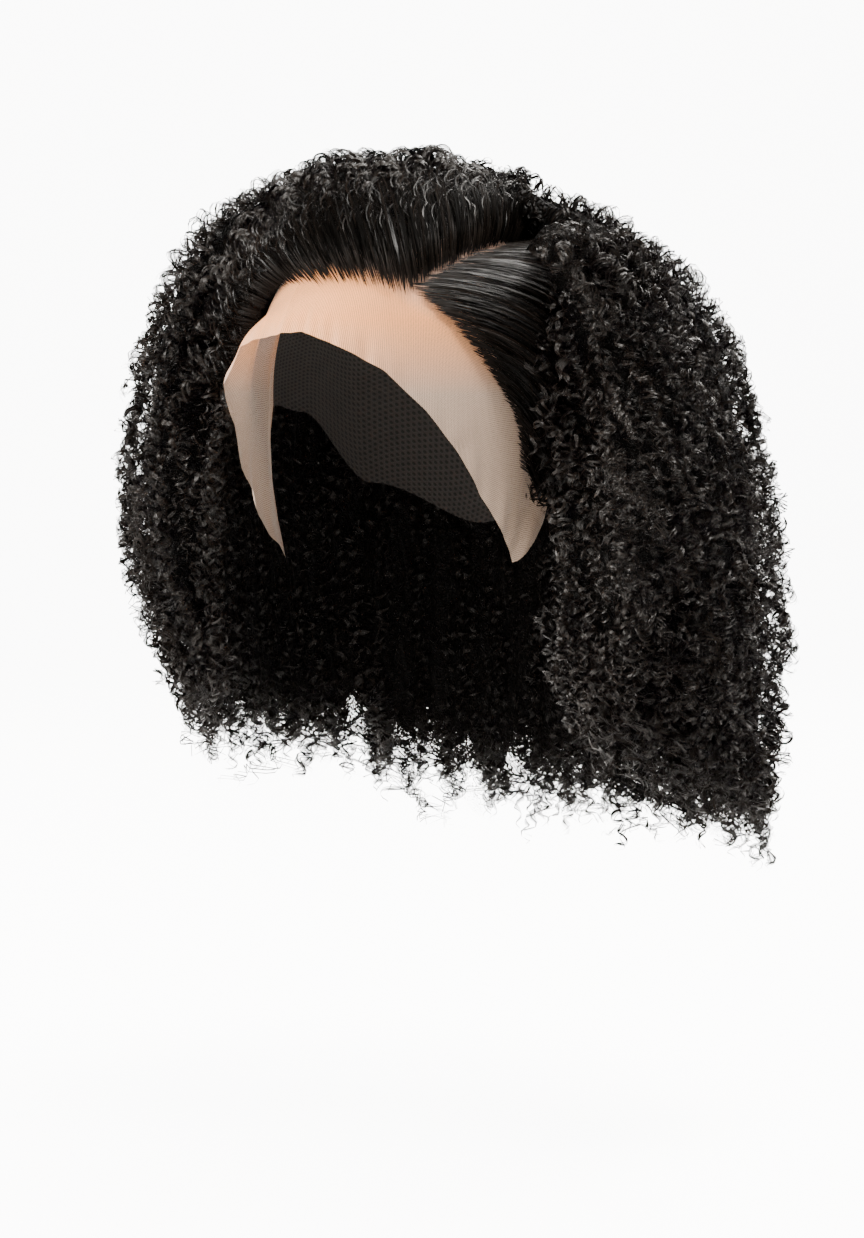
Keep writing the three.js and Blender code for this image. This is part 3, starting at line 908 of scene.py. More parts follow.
def net_group():
    """Net of threads: three sets of even lines, 60 degrees apart, each a thin band of a sawtooth.

    Pitch is the distance between lines in metres, Thread the share of it that is thread. Thread is 1
    on a line and 0 in a hole, and Relief falls off from the middle of a thread.
    """
    group = bpy.data.node_groups.new("Net threads", "ShaderNodeTree")
    socket(group, "Pitch", "INPUT", 0.001)
    socket(group, "Thread", "INPUT", 0.3)
    socket(group, "Thread", "OUTPUT")
    socket(group, "Relief", "OUTPUT")
    start = group.nodes.new("NodeGroupInput")
    end = group.nodes.new("NodeGroupOutput")
    place = strand_map(group)
    nearest = None
    for degrees in (0, 60, 120):
        turn = math.radians(degrees)
        across = (math.cos(turn), math.sin(turn), 0)
        dot = linked(group, "ShaderNodeVectorMath", i0=place, i1=across)
        dot.operation = "DOT_PRODUCT"
        count = maths(group, "DIVIDE", dot.outputs["Value"], start.outputs["Pitch"])
        saw = maths(group, "FRACT", count)
        away = maths(group, "ABSOLUTE", maths(group, "SUBTRACT", saw, 0.5))
        nearest = away if nearest is None else maths(group, "MINIMUM", nearest, away)
    half = maths(group, "MULTIPLY", start.outputs["Thread"], 0.5)
    thread = maths(group, "LESS_THAN", nearest, half)
    relief = maths(group, "SUBTRACT", 0.5, nearest)
    group.links.new(thread, end.inputs["Thread"])
    group.links.new(relief, end.inputs["Relief"])
    return group


def shared_group(tree, name, make, **values):
    """A node of a shared group, which is made once, with its inputs set."""
    node = tree.nodes.new("ShaderNodeGroup")
    node.node_tree = bpy.data.node_groups.get(name) or make()
    for key, value in values.items():
        node.inputs[key].default_value = value
    return node


def blank_material(name):
    """A new material with its node tree and Principled shader."""
    material = bpy.data.materials.new(name)
    material.use_nodes = True
    return material, material.node_tree, material.node_tree.nodes["Principled BSDF"]


def hair_material(name):
    """Brown-black hair: streaks of dark and light along each strand, raised by a bump.

    Frayed strands are clear between their streaks, so that each looks like several hairs.
    """
    if name in bpy.data.materials:
        return bpy.data.materials[name]
    settings = bpy.context.scene.wig_hair
    roughness, gloss, frayed = HAIR_FINISHES[name]
    material, tree, shader = blank_material(name)
    streaks = shared_group(tree, "Strand streaks", streak_group, Across=2400.0, Along=45.0)
    streak = streaks.outputs["Streak"]
    share = maths(tree, "MULTIPLY", streak, streaks.outputs["Tone"])
    share = maths(tree, "MULTIPLY", share, 2.0)
    colour = colour_mix(tree, share, settings.dark, settings.light)
    tree.links.new(colour, shader.inputs["Base Color"])
    rough = ranged(tree, streak, target=(roughness + 0.12, roughness - 0.08))
    tree.links.new(rough, shader.inputs["Roughness"])
    raised(tree, shader, streak, 0.55, 0.0004)
    shader.inputs["Specular IOR Level"].default_value = gloss
    if frayed:
        tree.links.new(ranged(tree, streak, source=(0.42, 0.5)), shader.inputs["Alpha"])
    return material


def deep_shade_material():
    """Hair deep under the curls, nearly black as painted shade, with rings of small curls painted lighter
    where they catch some light.

    It is whole where the tone is 1, and only the rings are left where the tone falls to 0.
    """
    if "Deep hair" in bpy.data.materials:
        return bpy.data.materials["Deep hair"]
    settings = bpy.context.scene.wig_hair
    material, tree, shader = blank_material("Deep hair")
    ring = shared_group(tree, "Deep curls", curl_group).outputs["Ring"]
    # Painted shade: the ground is darker than the strands' own dark colour, and the rings are painted
    # lighter
    colour = colour_mix(tree, ring, tinted(settings.dark, 0.4), tinted(settings.light, 0.6))
    tree.links.new(colour, shader.inputs["Base Color"])
    raised(tree, shader, ring, 1.0, 0.0013)
    filled = maths(tree, "ADD", ring, maths(tree, "MULTIPLY", tone_of(tree), 1.2))
    tree.links.new(maths(tree, "GREATER_THAN", filled, 0.95), shader.inputs["Alpha"])
    shader.inputs["Roughness"].default_value = 0.4
    shader.inputs["Specular IOR Level"].default_value = 0.08
    return material


def lace_material():
    """Sheer lace: beige threads of a fine net, clear between them, with a faint uneven weave.

    The threads are greyer near the crown and on the tabs, as painted shade. Under the hair, where the tone
    is 0, they are dark, and closed with knots.
    """
    settings = bpy.context.scene.wig_cap
    material, tree, shader = blank_material("Lace tulle")
    net = shared_group(tree, "Net threads", net_group, Pitch=settings.mesh_pitch, Thread=0.48)
    place = tree.nodes.new("ShaderNodeTexCoord").outputs["Object"]
    noise = linked(tree, "ShaderNodeTexNoise", Vector=place, Scale=90.0, Detail=3.0)
    weave = tinted(settings.lace_colour, 0.86)
    colour = colour_mix(tree, noise.outputs[0], weave, settings.lace_colour)
    way = linked(tree, "ShaderNodeSeparateXYZ", Vector=strand_map(tree))
    # Painted shade of the hair: greyer, darker lace near the crown
    colour = colour_mix(tree, ranged(tree, way.outputs[1], LACE_BARE), LACE_CROWN_SHADE_COLOUR, colour)
    high = linked(tree, "ShaderNodeSeparateXYZ", Vector=place)
    # Painted shade on the tabs: greyer, darker lace low down
    colour = colour_mix(tree, ranged(tree, high.outputs[2], LACE_TABS), LACE_TAB_SHADE_COLOUR, colour)
    tone = tone_of(tree)
    colour = colour_mix(tree, tone, LACE_KNOT_COLOUR, colour)
    tree.links.new(colour, shader.inputs["Base Color"])
    hidden = maths(tree, "SUBTRACT", 1.0, tone)
    tree.links.new(maths(tree, "MAXIMUM", net.outputs["Thread"], hidden), shader.inputs["Alpha"])
    raised(tree, shader, net.outputs["Relief"], 0.4, 0.0003)
    shader.inputs["Roughness"].default_value = 0.62
    shader.inputs["Sheen Weight"].default_value = 0.25
    return material


def cap_material():
    """Matt black stretch net, with raised threads over a darker ground."""
    settings = bpy.context.scene.wig_cap
    material, tree, shader = blank_material("Cap net")
    net = shared_group(tree, "Net threads", net_group, Pitch=settings.cap_pitch, Thread=0.4)
    ground = tinted(settings.cap_colour, 0.35)
    thread = tinted(settings.cap_colour, 1.9)
    colour = colour_mix(tree, net.outputs["Thread"], ground, thread)
    tree.links.new(colour, shader.inputs["Base Color"])
    raised(tree, shader, net.outputs["Relief"], 0.8, 0.0006)
    shader.inputs["Roughness"].default_value = 0.85
    return material


def placed(piece, node):
    """The piece moves with the part and stands for its node, which is hidden."""
    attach(piece, "root")
    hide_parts(node)


class WIG_OT_lace_front(bpy.types.Operator):
    """Sheer lace panel from the crown to its untrimmed edge, with a tab on each side."""

    bl_idname = "wig.lace_front"
    bl_label = "Lace front"

    def execute(self, context):
        """Grid on the cap form, of azimuth and the share of the way from the crown to the edge.

        It is lifted by half the wall, by how far the edge stands off, and by two sines near the edge.
        """
        azimuth = np.linspace(-90, 90, 145)[:, None]
        share = np.linspace(0, 1, 57)[None, :]
        edge = rows_at(LACE_EDGE, azimuth[:, 0], ease=False)[:, None, :]
        polar = polar_at(edge[..., 0]) * share
        ripple = np.sin(azimuth * 0.42 + share * 5) + 0.6 * np.sin(azimuth * 0.9 - share * 9)
        near_edge = smooth(share, 0.86, 1)
        off = edge[..., 1] * smooth(share, FLARE_FROM, 1) + 0.7 * near_edge * (ripple + 1.6)
        grid = cap_point(azimuth, polar, LACE_WALL / 2 + off)
        gathered = Surfaces()
        add_grid(gathered, grid, self.bare(grid))
        piece = gathered.made("lace_front_sheet", lace_material())
        placed(piece, "lace_front")
        return {"FINISHED"}

    def bare(self, grid):
        """How bare of hair the lace is: 1 before the hairline and along the parting, 0 under the hair.

        It falls off from 2 to 7 mm behind the nearest root of the hairline, along the way its hair is
        combed, and from 1.5 to 3.5 mm away from the parting. Past the hairline's ends it is bare.
        """
        tables = (FRONT_RIGHT, FRONT_LEFT)
        steps, last_steps = 90, (72, 88)
        parts = np.linspace(0, PARTING_END, 60)
        parting = np.concatenate([front_rows(table, parts, np.zeros_like(parts))[0] for table in tables])
        places = [np.linspace(PARTING_END, len(table) - 1, steps) for table in tables]
        rows = [front_rows(table, place, np.zeros_like(place)) for table, place in zip(tables, places)]
        roots = np.concatenate([handles[0] for handles in rows])
        combed = np.concatenate([unit(handles[3] - handles[0]) for handles in rows])
        ends = np.tile(smooth(np.arange(steps), *last_steps), len(tables))
        points = grid.reshape(-1, 3)
        nearest = np.linalg.norm(points[:, None] - roots[None], axis=-1).argmin(1)
        behind = ((points - roots[nearest]) * combed[nearest]).sum(-1)
        beside = np.linalg.norm(points[:, None] - parting[None], axis=-1).min(1)
        open_lace = np.maximum(1 - smooth(behind, 0.002, 0.007), ends[nearest])
        return np.maximum(open_lace, 1 - smooth(beside, 0.0015, 0.0035)).reshape(grid.shape[:2])


class WIG_OT_net_cap(bpy.types.Operator):
    """Stretch-net cap behind the lace, down to the nape."""

    bl_idname = "wig.net_cap"
    bl_label = "Net cap"

    def execute(self, context):
        """Grid on the cap form, of azimuth and the share of the way from the crown to the rim.

        It is lifted by half the wall and set back from the lace.
        """
        azimuth = np.linspace(90, 270, 91)[:, None]
        share = np.linspace(0, 1, 41)[None, :]
        rim = rows_at(CAP_RIM, azimuth[:, 0])[:, None, 0]
        grid = cap_point(azimuth, polar_at(rim) * share, CAP_WALL / 2)
        grid[..., 1] += CAP_SET_BACK * MM
        gathered = Surfaces()
        add_grid(gathered, grid, 0.5)
        piece = gathered.made("wig_cap_net", cap_material())
        placed(piece, "wig_cap")
        return {"FINISHED"}


class WIG_OT_front_hair(bpy.types.Operator):
    """Sleek hair on both sides of the parting, combed off the hairline into the curls."""

    bl_idname = "wig.front_hair"
    bl_label = "Front hair"

    # Node, share of combed strands that shine, table of strips, counts of combed and waved strands, of
    # curls and of fine hairs, and the share of the way along a strip where it starts to curl, by row
    # The share that shines also paints the colour of a side's combed strands: lighter as painted sheen
    # where it is high, darker as painted shade where it is low
    sides = [
        (
            "front_hair_right", 0.04, FRONT_RIGHT, (1150, 700, 120, 1100),
            (0.45, 0.5, 0.5, 0.5, 0.48, 0.42, 0.34, 0.24, 0.16, 0.1, 0.1),
        ),
        (
            "front_hair_left", 0.75, FRONT_LEFT, (1050, 330, 50, 900),
            (0.66, 0.66, 0.68, 0.7, 0.7, 0.66, 0.6, 0.55, 0.5),
        ),
    ]

    def execute(self, context):
        """One object for each side of the parting: a bed, strands over it, curls and fine hairs."""
        settings = context.scene.wig_hair
        for number, (node, shine, table, counts, curl_from) in enumerate(self.sides):
            rng = np.random.default_rng(settings.seed + FRONT_SEED + number)
            combed, waved, curls, fine = (max(1, int(count * settings.fullness)) for count in counts)
            gathered = Surfaces()
            self.bed(gathered, table)
            self.combed(gathered, rng, settings, table, combed, curl_from, shine)
            self.waved(gathered, rng, settings, table, waved, curl_from)
            self.curled(gathered, rng, settings, table, curls, curl_from)
            self.fine_hairs(gathered, rng, settings, table, fine)
            placed(gathered.made(node + "_strands", *self.finishes()), node)
        return {"FINISHED"}

    def finishes(self):
        """Materials in the order of their numbers."""
        names = ("Sleek hair", "Single hairs", "Curled hair", "Sheen hair")
        sleek, single, curled, sheen = (hair_material(name) for name in names)
        return sleek, deep_shade_material(), single, curled, sheen

    def bed(self, gathered, table):
        """Hair underneath, nearly black as painted shade: a shell between the curves, drawn in, and the
        lifted cap form.
        """
        place = np.linspace(0.12, len(table) - 2.2, 60)
        handles = front_rows(table, place, np.full_like(place, 0.12))
        t = np.broadcast_to(np.linspace(0.2, 1.0, 24), (len(place), 24))
        path = bezier(handles, t)
        foot = path / cap_share(path, BED_LIFT)
        room = path - foot
        high = np.linalg.norm(room, axis=-1, keepdims=True)
        under = (0.006 - 0.005 * smooth(t, 0.4, 0.8))[..., None]
        rise = foot + room * np.clip((high - under) / np.maximum(high, 1e-5), 0.06, 1)
        add_shell(gathered, rise, foot, 1.0, finish=DEEP)

    def scattered(self, rng, table, count, start):
        """Places along a table, and the Bezier handles there, a little out of line.

        Half of them are rooted at the hairline or the parting, and half behind.
        """
        pairs = even_pairs(count, start)
        place = pairs[:, 0] * (len(table) - 1)
        back = np.where(pairs[:, 1] < 0.5, 0, (pairs[:, 1] - 0.5) / 0.5)
        jitter = rng.normal(0, 0.0012, (count, 3))
        loose = (0.6, 1.5, 2.2, 2.6)
        return place, [h + jitter * k for h, k in zip(front_rows(table, place, back), loose)]

    def combed(self, gathered, rng, settings, table, count, curl_from, shine):
        """Straight strands along the front hair's Bezier curves, from the roots to where it curls.

        At the hairline the roots lie up to 17 mm behind it, and those of wide strands most.
        """
        place, handles = self.scattered(rng, table, count, 0.37)
        far = np.linalg.norm(handles[3] - handles[0], axis=-1)
        bend = np.interp(place, np.arange(len(table)), curl_from)[:, None]
        hairline = smooth(place, *HAIRLINE_ROWS)
        shiny = rng.random(count) < shine
        wide = rng.random(count) < 0.3
        first = (rng.uniform(0, 0.012, count) + 0.005 * wide) / far * (0.12 + 0.88 * hairline)
        last = np.clip(bend * rng.uniform(0.9, 1.3, (count, 1)), 0.3, 1.0)
        t = first[:, None] + (last - first[:, None]) * np.linspace(0, 1, 10)[None, :]
        path = bezier(handles, t)
        width = settings.strand_width * np.where(wide, 1.9, 1.0) * rng.uniform(0.7, 1.3, count)
        # Painted sheen and shade: the strands' random tone is raised on the shining side and lowered on the
        # other
        tone = rng.random(count) ** 3 * (0.4 + shine)
        out = front_out(path)
        for part, finish in ((shiny, SHEEN), (~shiny, MAIN)):
            add_strands(gathered, path[part], out[part], width[part], tone[part], (0.25, 0.25), finish)

    def waved(self, gathered, rng, settings, table, count, curl_from):
        """Strands over the combed ones' ends, which wave as a sine, 3.4 mm aside and 2.4 mm out.

        Neighbours share the length and the phase of their waves, so that they lie in locks.
        """
        place, handles = self.scattered(rng, table, count, 0.59)
        bend = np.interp(place, np.arange(len(table)), curl_from)[:, None]
        first = bend * rng.uniform(0.4, 0.95, (count, 1))
        t = np.minimum(first + rng.uniform(0.3, 0.5, (count, 1)) * np.linspace(0, 1, 26)[None, :], 1.08)
        path = bezier(handles, t)
        out = front_out(path)
        side = np.cross(unit(np.gradient(path, axis=1)), out)
        lock = (place * 4).astype(int)
        locks = 60
        phase = rng.uniform(0, 1, locks)[lock][:, None] + rng.normal(0, 0.05, (count, 1))
        turns = rng.uniform(4.4, 6.2, locks)[lock][:, None]
        wave = 2 * np.pi * (t * turns + phase)
        size = smooth(t, 0.45 * bend, 1.2 * bend)[..., None]
        aside = side * 0.0034 * np.sin(wave)[..., None]
        lifted = out * 0.0024 * np.cos(wave)[..., None]
        path = path + (aside + lifted) * size
        width = settings.strand_width * rng.uniform(0.7, 1.5, count)
        tone = rng.random(count) ** 2
        shiny = rng.random(count) < 0.4
        for part, finish in ((shiny, CURLED), (~shiny, MAIN)):
            add_strands(gathered, path[part], out[part], width[part], tone[part], (0.2, 0.2), finish)

    def curled(self, gathered, rng, settings, table, count, curl_from):
        """Loose locks over the end of the sleek hair, where it turns into the outer form."""
        pairs = even_pairs(count, 0.71)
        place = pairs[:, 0] * (len(table) - 1)
        handles = front_rows(table, place, rng.uniform(0, 0.5, count))
        bend = np.interp(place, np.arange(len(table)), curl_from)
        first = bend + (0.9 - bend) * pairs[:, 1]
        t = first[:, None] + np.linspace(0, 0.45, 41)[None, :]
        lines = bezier(handles, np.minimum(t, 1.12))
        out = front_out(lines)
        lines = lines + out * (0.005 * smooth(t, 0.4, 0.9) * rng.uniform(0.2, 1.2, (count, 1)))[..., None]
        radius = settings.coil_radius * rng.uniform(1.05, 1.75, count)
        pitch = settings.coil_pitch * rng.uniform(1.2, 1.8, count)
        width = settings.strand_width * rng.uniform(1.0, 1.8, count)
        tone = np.full(count, 0.75)
        add_curls(
            gathered, rng, lines, out, radius, pitch, width, tone, hands=6, spread=0.35, finish=CURLED
        )

    def fine_hairs(self, gathered, rng, settings, table, count):
        """Single hairs on both sides of the hairline, 7 mm in front to 12 mm behind, close to the lace."""
        place = even_pairs(count, 0.19)[:, 0] * (len(table) - 1)
        handles = front_rows(table, place, np.zeros(count))
        root = handles[0]
        ahead = unit(root - handles[3])
        hairline = 0.2 + 0.8 * smooth(place, *HAIRLINE_ROWS)[:, None]
        shift = ahead * rng.uniform(-0.012, 0.007, (count, 1)) * hairline
        shift = shift + rng.normal(0, 0.0008, (count, 3))
        moved = root + shift
        root = moved / cap_share(moved, FINE_LIFT)
        handles = [root] + [h + shift * k for h, k in zip(handles[1:], (0.8, 0.4, 0.2))]
        t = np.linspace(0, 1, 7)[None, :] * rng.uniform(0.12, 0.3, (count, 1))
        path = bezier(handles, t)
        width = settings.strand_width * rng.uniform(0.45, 0.75, count)
        tone = np.full(count, 0.8)
        add_strands(gathered, path, front_out(path), width, tone, (0.02, 0.5), SINGLE)


class WIG_OT_hanging_curls(bpy.types.Operator):
    """Curls that hang beside the face and behind, in four masses."""

    bl_idname = "wig.hanging_curls"
    bl_label = "Hanging curls"

    # Node, azimuths, and counts of curls: outside, face edge, inside, hem and loose
    masses = [
        ("side_curls_left", 68, 122, 250, 76, 60, 120, 56),
        ("back_curls_left", 122, 180, 240, 0, 90, 126, 56),
        ("back_curls_right", 180, 238, 240, 0, 90, 126, 56),
        ("side_curls_right", 238, 292, 250, 76, 60, 120, 56),
    ]

    def execute(self, context):
        """One object for each mass: a core, which keeps back from the face edge, and curls all round."""
        settings = context.scene.wig_hair
        for number, (node, low, high, *counts) in enumerate(self.masses):
            outside, face, inside, hem, loose = (int(count * settings.fullness) for count in counts)
            rng = np.random.default_rng(settings.seed + number)
            gathered = Surfaces()
            set_back = 5 if face else 0
            hanging_core(gathered, *((low + set_back, high) if low < 180 else (low, high - set_back)))
            self.outside(gathered, rng, settings, low, high, outside)
            if face:
                self.face_edge(gathered, rng, settings, *((low, 1) if low < 180 else (high, -1)), face)
            self.inside(gathered, rng, settings, low, high, inside)
            self.hem(gathered, rng, settings, low, high, hem)
            self.loose(gathered, rng, settings, low, high, loose)
            placed(gathered.made(node + "_strands", *self.finishes()), node)
        return {"FINISHED"}

    def finishes(self):
        """Materials in the order of their numbers."""
        names = ("Single hairs", "Inner hair", "Curled hair")
        single, inner, curled = (hair_material(name) for name in names)
        return curled, deep_shade_material(), single, inner

    def outside(self, gathered, rng, settings, low, high, count):
        """Flat strands in a deep layer, then locks of even strands over it, larger near the crown."""
        few = int(count * 0.35)
        azimuth, start = spread_starts(few, 0.13, low, high)
        length = rng.uniform(0.08, 0.11, few)
        depth = np.stack([rng.uniform(0.005, 0.011, few), rng.uniform(0.003, 0.009, few)], 1)
        lines, out = mass_lines(rng, azimuth, start, depth, length, steps=64)
        radius = settings.coil_radius * rng.uniform(0.8, 1.3, few)
        pitch = settings.coil_pitch * rng.uniform(0.95, 1.3, few)
        width = np.full(few, settings.lock_width * 1.2)
        # Painted shade: the deep layer's tone is lower than that of the locks over it
        add_curls(gathered, rng, lines, out, radius, pitch, width, np.full(few, 0.45))
        azimuth, start = spread_starts(count, 0.61, low, high)
        low_down = smooth(start / profile_length(azimuth), 0.2, 0.5)
        size = 1 - 0.35 * low_down
        pitch = settings.coil_pitch * rng.uniform(1.2, 1.8, count) * size
        length = pitch * rng.uniform(3.0, 3.8, count) / size**0.6
        depth = np.stack([rng.uniform(0.0, 0.009, count), rng.uniform(-0.005, 0.005, count)], 1)
        depth = depth - 0.004 * low_down[:, None]
        lines, out = mass_lines(rng, azimuth, start - 0.02, depth, length, steps=38, drift=5.0)
        radius = settings.coil_radius * rng.uniform(1.15, 1.85, count) * size
        width = settings.strand_width * rng.uniform(0.9, 1.5, count)
        tone = np.full(count, 0.75)
        add_curls(gathered, rng, lines, out, radius, pitch, width, tone, hands=5, spread=0.35)

    def face_edge(self, gathered, rng, settings, edge, way, count):
        """Curls over the face edge of a side mass, through its whole depth."""
        azimuth = edge + way * rng.uniform(-1.0, 5.0, count)
        pairs = even_pairs(count, 0.29)
        start = (0.27 + 0.66 * pairs[:, 0]) * profile_length(azimuth)
        deep = 0.002 + pairs[:, 1] * 0.056
        depth = np.stack([deep, np.maximum(deep + rng.normal(0, 0.003, count), 0.001)], 1)
        pitch = settings.coil_pitch * rng.uniform(0.85, 1.4, count)
        length = pitch * rng.uniform(5.0, 7.0, count)
        lines, out = mass_lines(rng, azimuth, start, depth, length, steps=84, drift=2.2)
        lines = slow_coil(rng, lines, out, 0.0022)
        out = np.broadcast_to(unit(np.array([0.3 * way, -1.0, 0.1])), out.shape)
        radius = settings.coil_radius * rng.uniform(0.75, 1.3, count)
        width = np.where(rng.random(count) < 0.5, settings.lock_width, settings.lock_width * 0.6)
        add_curls(gathered, rng, lines, out, radius, pitch, width, np.full(count, 0.75), hands=2)

    def inside(self, gathered, rng, settings, low, high, count):
        """Small curls on the inside of a mass, next to the hollow, painted dim as shade."""
        azimuth, start = spread_starts(count, 0.83, low, high)
        start = np.maximum(start, 0.19)
        depth = np.stack([rng.uniform(0.003, 0.006, count), rng.uniform(0.003, 0.006, count)], 1)
        length = rng.uniform(0.07, 0.1, count)
        lines, out = mass_lines(rng, azimuth, start, depth, length, steps=64, inside=True)
        radius = settings.coil_radius * rng.uniform(0.6, 1.0, count)
        pitch = settings.coil_pitch * rng.uniform(0.9, 1.2, count)
        width = np.full(count, settings.lock_width)
        # Painted shade: a low tone and the duller Inner hair
        add_curls(gathered, rng, lines, out, radius, pitch, width, np.full(count, 0.3), finish=INNER)

    def hem(self, gathered, rng, settings, low, high, count):
        """Tufts of six curls each under a mass, through its whole thickness, which end unevenly."""
        each = 6
        tufts = count // each
        pairs = np.repeat(even_pairs(tufts, 0.53), each, 0)
        drop = np.repeat(rng.uniform(-0.012, 0.010, tufts), each)
        count = len(pairs)
        azimuth = low + (high - low) * pairs[:, 0] + rng.normal(0, 0.9, count)
        pitch = settings.coil_pitch * rng.uniform(0.85, 1.4, count)
        length = pitch * rng.uniform(5.0, 6.5, count)
        deep = np.maximum(0.003 + 0.05 * pairs[:, 1] + rng.normal(0, 0.002, count), 0.001)
        start = profile_length(azimuth)
        depth = np.stack([deep, deep], 1)
        tip = (drop - 0.02, drop)
        lines, out = mass_lines(rng, azimuth, start, depth, length, steps=66, drift=1.2, tip=tip)
        radius = settings.coil_radius * rng.uniform(0.8, 1.3, count)
        width = settings.lock_width * rng.uniform(0.5, 1.0, count)
        add_curls(gathered, rng, lines, out, radius, pitch, width, np.full(count, 0.6), hands=2, spread=0.6)

    def loose(self, gathered, rng, settings, low, high, count):
        """Loose ringlets that stand out of the outline, round lines that coil slowly themselves."""
        azimuth, start = spread_starts(count, 0.47, low, high)
        low_down = smooth(start / profile_length(azimuth), 0.15, 0.45)
        away = rng.uniform(0.001, 0.008, count) * (0.3 + 0.7 * low_down)
        depth = np.stack([rng.uniform(-0.003, 0.004, count), -away], 1)
        pitch = settings.coil_pitch * rng.uniform(0.9, 1.4, count)
        length = pitch * rng.uniform(3.0, 4.2, count)
        lines, out = mass_lines(rng, azimuth, start, depth, length, steps=44, drift=6.0)
        lines = slow_coil(rng, lines, out, 0.002)
        radius = settings.coil_radius * rng.uniform(0.9, 1.5, count)
        width = settings.strand_width * rng.uniform(0.7, 1.2, count)
        tone = np.full(count, 0.6)
        add_curls(gathered, rng, lines, out, radius, pitch, width, tone, hands=4, spread=0.4, finish=SINGLE)


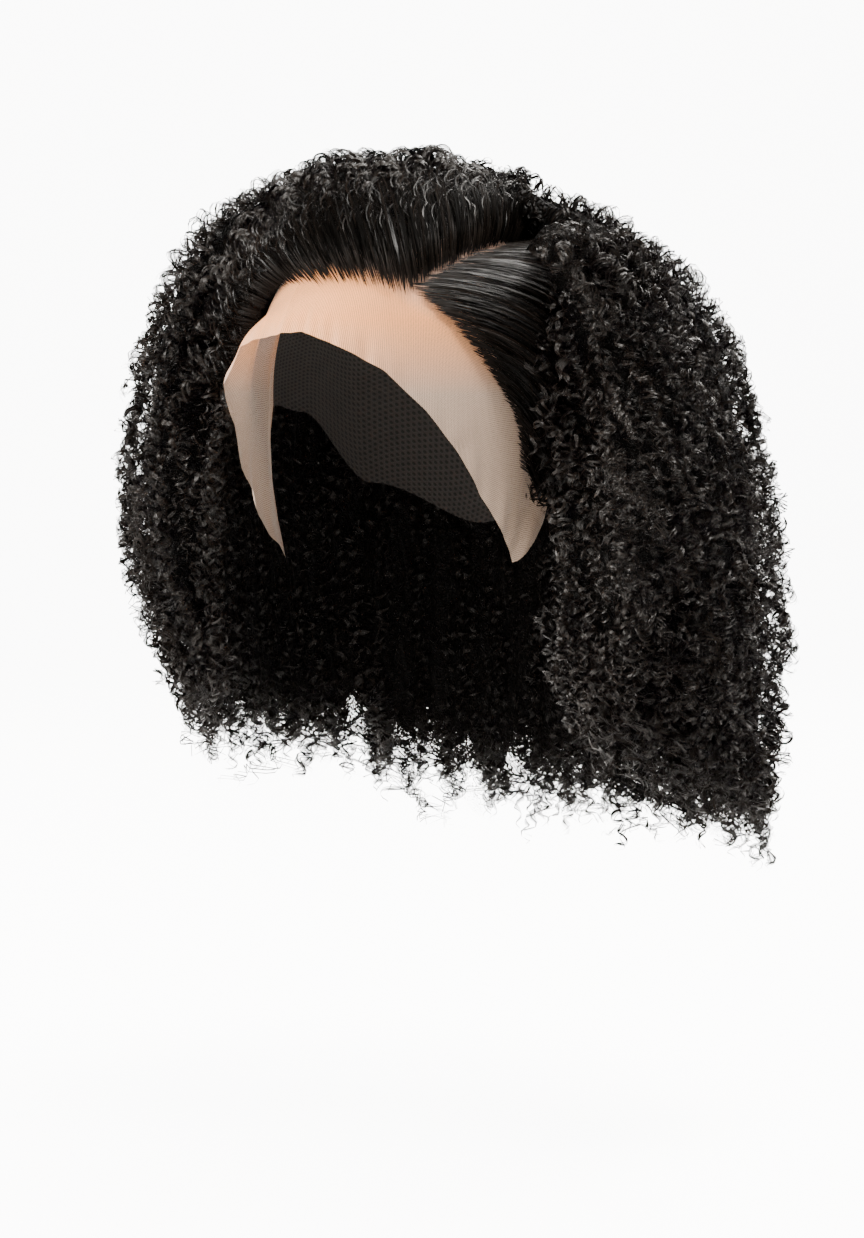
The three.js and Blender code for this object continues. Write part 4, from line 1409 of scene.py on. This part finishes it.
class WIG_OT_stage(bpy.types.Operator):
    """Pale floor that sweeps up behind, soft lights and the camera."""

    bl_idname = "wig.stage"
    bl_label = "Stage"

    # Lights: name, place, diameter in metres, power in watts, and the point that they face. Key is high
    # over the part, front and fill stand before it and at the wearer's right, rim is high behind it,
    # back is behind it and wall lights the sweep.
    part_middle = (0, 0, -0.06)
    lamps = [
        ("key", (0.7, -0.4, 2.45), 1.2, 145, part_middle),
        ("front", (-0.6, -2.7, 0.8), 1.6, 30, part_middle),
        ("fill", (-2.2, -1.3, 0.9), 1.6, 200, part_middle),
        ("rim", (0.55, 0.75, 2.5), 1.4, 85, part_middle),
        ("back", (0.1, 2.2, 1.3), 1.4, 90, part_middle),
        ("wall", (-0.8, 1.6, 2.6), 2.4, 40, (-1.4, 3.6, 0.2)),
    ]
    lamp_colour = (1.0, 0.965, 0.915)

    def execute(self, context):
        settings = context.scene.wig_stage
        self.sweep(settings)
        self.camera(context, settings)
        self.lights(context)
        self.surround(context, settings)
        return {"FINISHED"}

    def sweep(self, settings):
        """Floor: a line across, carried along flat ground, a quarter circle and a wall."""
        turn = np.linspace(0, np.pi / 2, 16)
        wall = SWEEP_BEND_FROM + SWEEP_BEND
        deep = np.concatenate([[SWEEP_FRONT], SWEEP_BEND_FROM + SWEEP_BEND * np.sin(turn), [wall]])
        high = np.concatenate([[0.0], SWEEP_BEND - SWEEP_BEND * np.cos(turn), [SWEEP_HEIGHT]])
        high = high + settings.floor_height
        across = np.array([-SWEEP_HALF_WIDTH, SWEEP_HALF_WIDTH])[:, None]
        a = settings.camera_turn
        x = across * math.cos(a) - deep[None, :] * math.sin(a)
        y = across * math.sin(a) + deep[None, :] * math.cos(a)
        grid = np.stack([x, y, np.broadcast_to(high, x.shape)], -1)[::-1]
        gathered = Surfaces()
        add_grid(gathered, grid, 0.5)
        material, tree, shader = blank_material("Pale floor")
        place = tree.nodes.new("ShaderNodeTexCoord").outputs["Object"]
        noise = linked(tree, "ShaderNodeTexNoise", Vector=place, Scale=3.0)
        rough = ranged(tree, noise.outputs[0], target=(0.55, 0.6))
        tree.links.new(rough, shader.inputs["Roughness"])
        shader.inputs["Base Color"].default_value = (*settings.floor_colour, 1)
        shader.inputs["Specular IOR Level"].default_value = 0.2
        shader.inputs["Emission Color"].default_value = (1, 1, 1, 1)
        seen = tree.nodes.new("ShaderNodeLightPath")
        glow = maths(tree, "MULTIPLY", seen.outputs["Is Camera Ray"], settings.floor_glow)
        tree.links.new(glow, shader.inputs["Emission Strength"])
        gathered.made("pale_sweep", material)

    def camera(self, context, settings):
        """Camera on a sphere round the middle of the picture, upright, with the photograph's frame."""
        turn, rise = settings.camera_turn, settings.camera_rise
        back = Vector((math.sin(turn) * math.cos(rise), -math.cos(turn) * math.cos(rise), math.sin(rise)))
        right = Vector((math.cos(turn), math.sin(turn), 0))
        up = back.cross(right)
        middle = right * PICTURE_RIGHT + up * PICTURE_UP
        data = bpy.data.cameras.new("studio_camera")
        data.sensor_fit = "VERTICAL"
        data.sensor_height = 36
        data.lens = data.sensor_height * settings.camera_distance / PICTURE_HEIGHT
        data.clip_start = 0.05
        data.clip_end = 60
        camera = bpy.data.objects.new("studio_camera", data)
        turned = Matrix((right, up, back)).transposed().to_4x4()
        camera.matrix_world = Matrix.Translation(middle + back * settings.camera_distance) @ turned
        context.scene.collection.objects.link(camera)
        context.scene.camera = camera

    def lights(self, context):
        """Large soft lights, each a disk that faces the part, or the sweep."""
        for name, place, size, power, target in self.lamps:
            data = bpy.data.lights.new(name, "AREA")
            data.shape = "DISK"
            data.size = size
            data.energy = power
            data.color = self.lamp_colour
            light = bpy.data.objects.new(name, data)
            light.location = place
            away = Vector(place) - Vector(target)
            light.rotation_euler = away.to_track_quat("Z", "Y").to_euler()
            context.scene.collection.objects.link(light)

    def surround(self, context, settings):
        """Dim white light from all round, which looks as pale as the floor past the floor's edges."""
        world = bpy.data.worlds.new("studio_world")
        context.scene.world = world
        world.use_nodes = True
        tree = world.node_tree
        seen = tree.nodes.new("ShaderNodeLightPath")
        glow = maths(tree, "MULTIPLY", seen.outputs["Is Camera Ray"], settings.floor_glow)
        ground = tree.nodes["Background"]
        ground.inputs["Color"].default_value = (1, 1, 1, 1)
        tree.links.new(maths(tree, "ADD", glow, settings.dim_light), ground.inputs["Strength"])


class WIG_PT_panel(bpy.types.Panel):
    """The wig's settings and steps, in the sidebar."""

    bl_idname = "WIG_PT_panel"
    bl_label = "Wig"
    bl_space_type = "VIEW_3D"
    bl_region_type = "UI"
    bl_category = "Wig"

    def draw(self, context):
        for step in STEPS:
            self.layout.operator(step.bl_idname)
        for settings in (context.scene.wig_hair, context.scene.wig_cap, context.scene.wig_stage):
            for name in settings.__annotations__:
                self.layout.prop(settings, name)


STEPS = [WIG_OT_lace_front, WIG_OT_net_cap, WIG_OT_front_hair, WIG_OT_hanging_curls, WIG_OT_stage]
GROUPS = [WigHairSettings, WigCapSettings, WigStageSettings]


def register():
    """Adds the wig's classes and settings."""
    for each in GROUPS + STEPS + [WIG_PT_panel]:
        bpy.utils.register_class(each)
    bpy.types.Scene.wig_hair = bpy.props.PointerProperty(type=WigHairSettings)
    bpy.types.Scene.wig_cap = bpy.props.PointerProperty(type=WigCapSettings)
    bpy.types.Scene.wig_stage = bpy.props.PointerProperty(type=WigStageSettings)


def unregister():
    """Takes the wig's classes and settings away."""
    del bpy.types.Scene.wig_stage
    del bpy.types.Scene.wig_cap
    del bpy.types.Scene.wig_hair
    for each in reversed(GROUPS + STEPS + [WIG_PT_panel]):
        bpy.utils.unregister_class(each)


def main():
    """Makes the pieces and the stage in order."""
    register()
    bpy.ops.wig.lace_front()
    bpy.ops.wig.net_cap()
    bpy.ops.wig.front_hair()
    bpy.ops.wig.hanging_curls()
    bpy.ops.wig.stage()


if __name__ == "__main__":
    main()
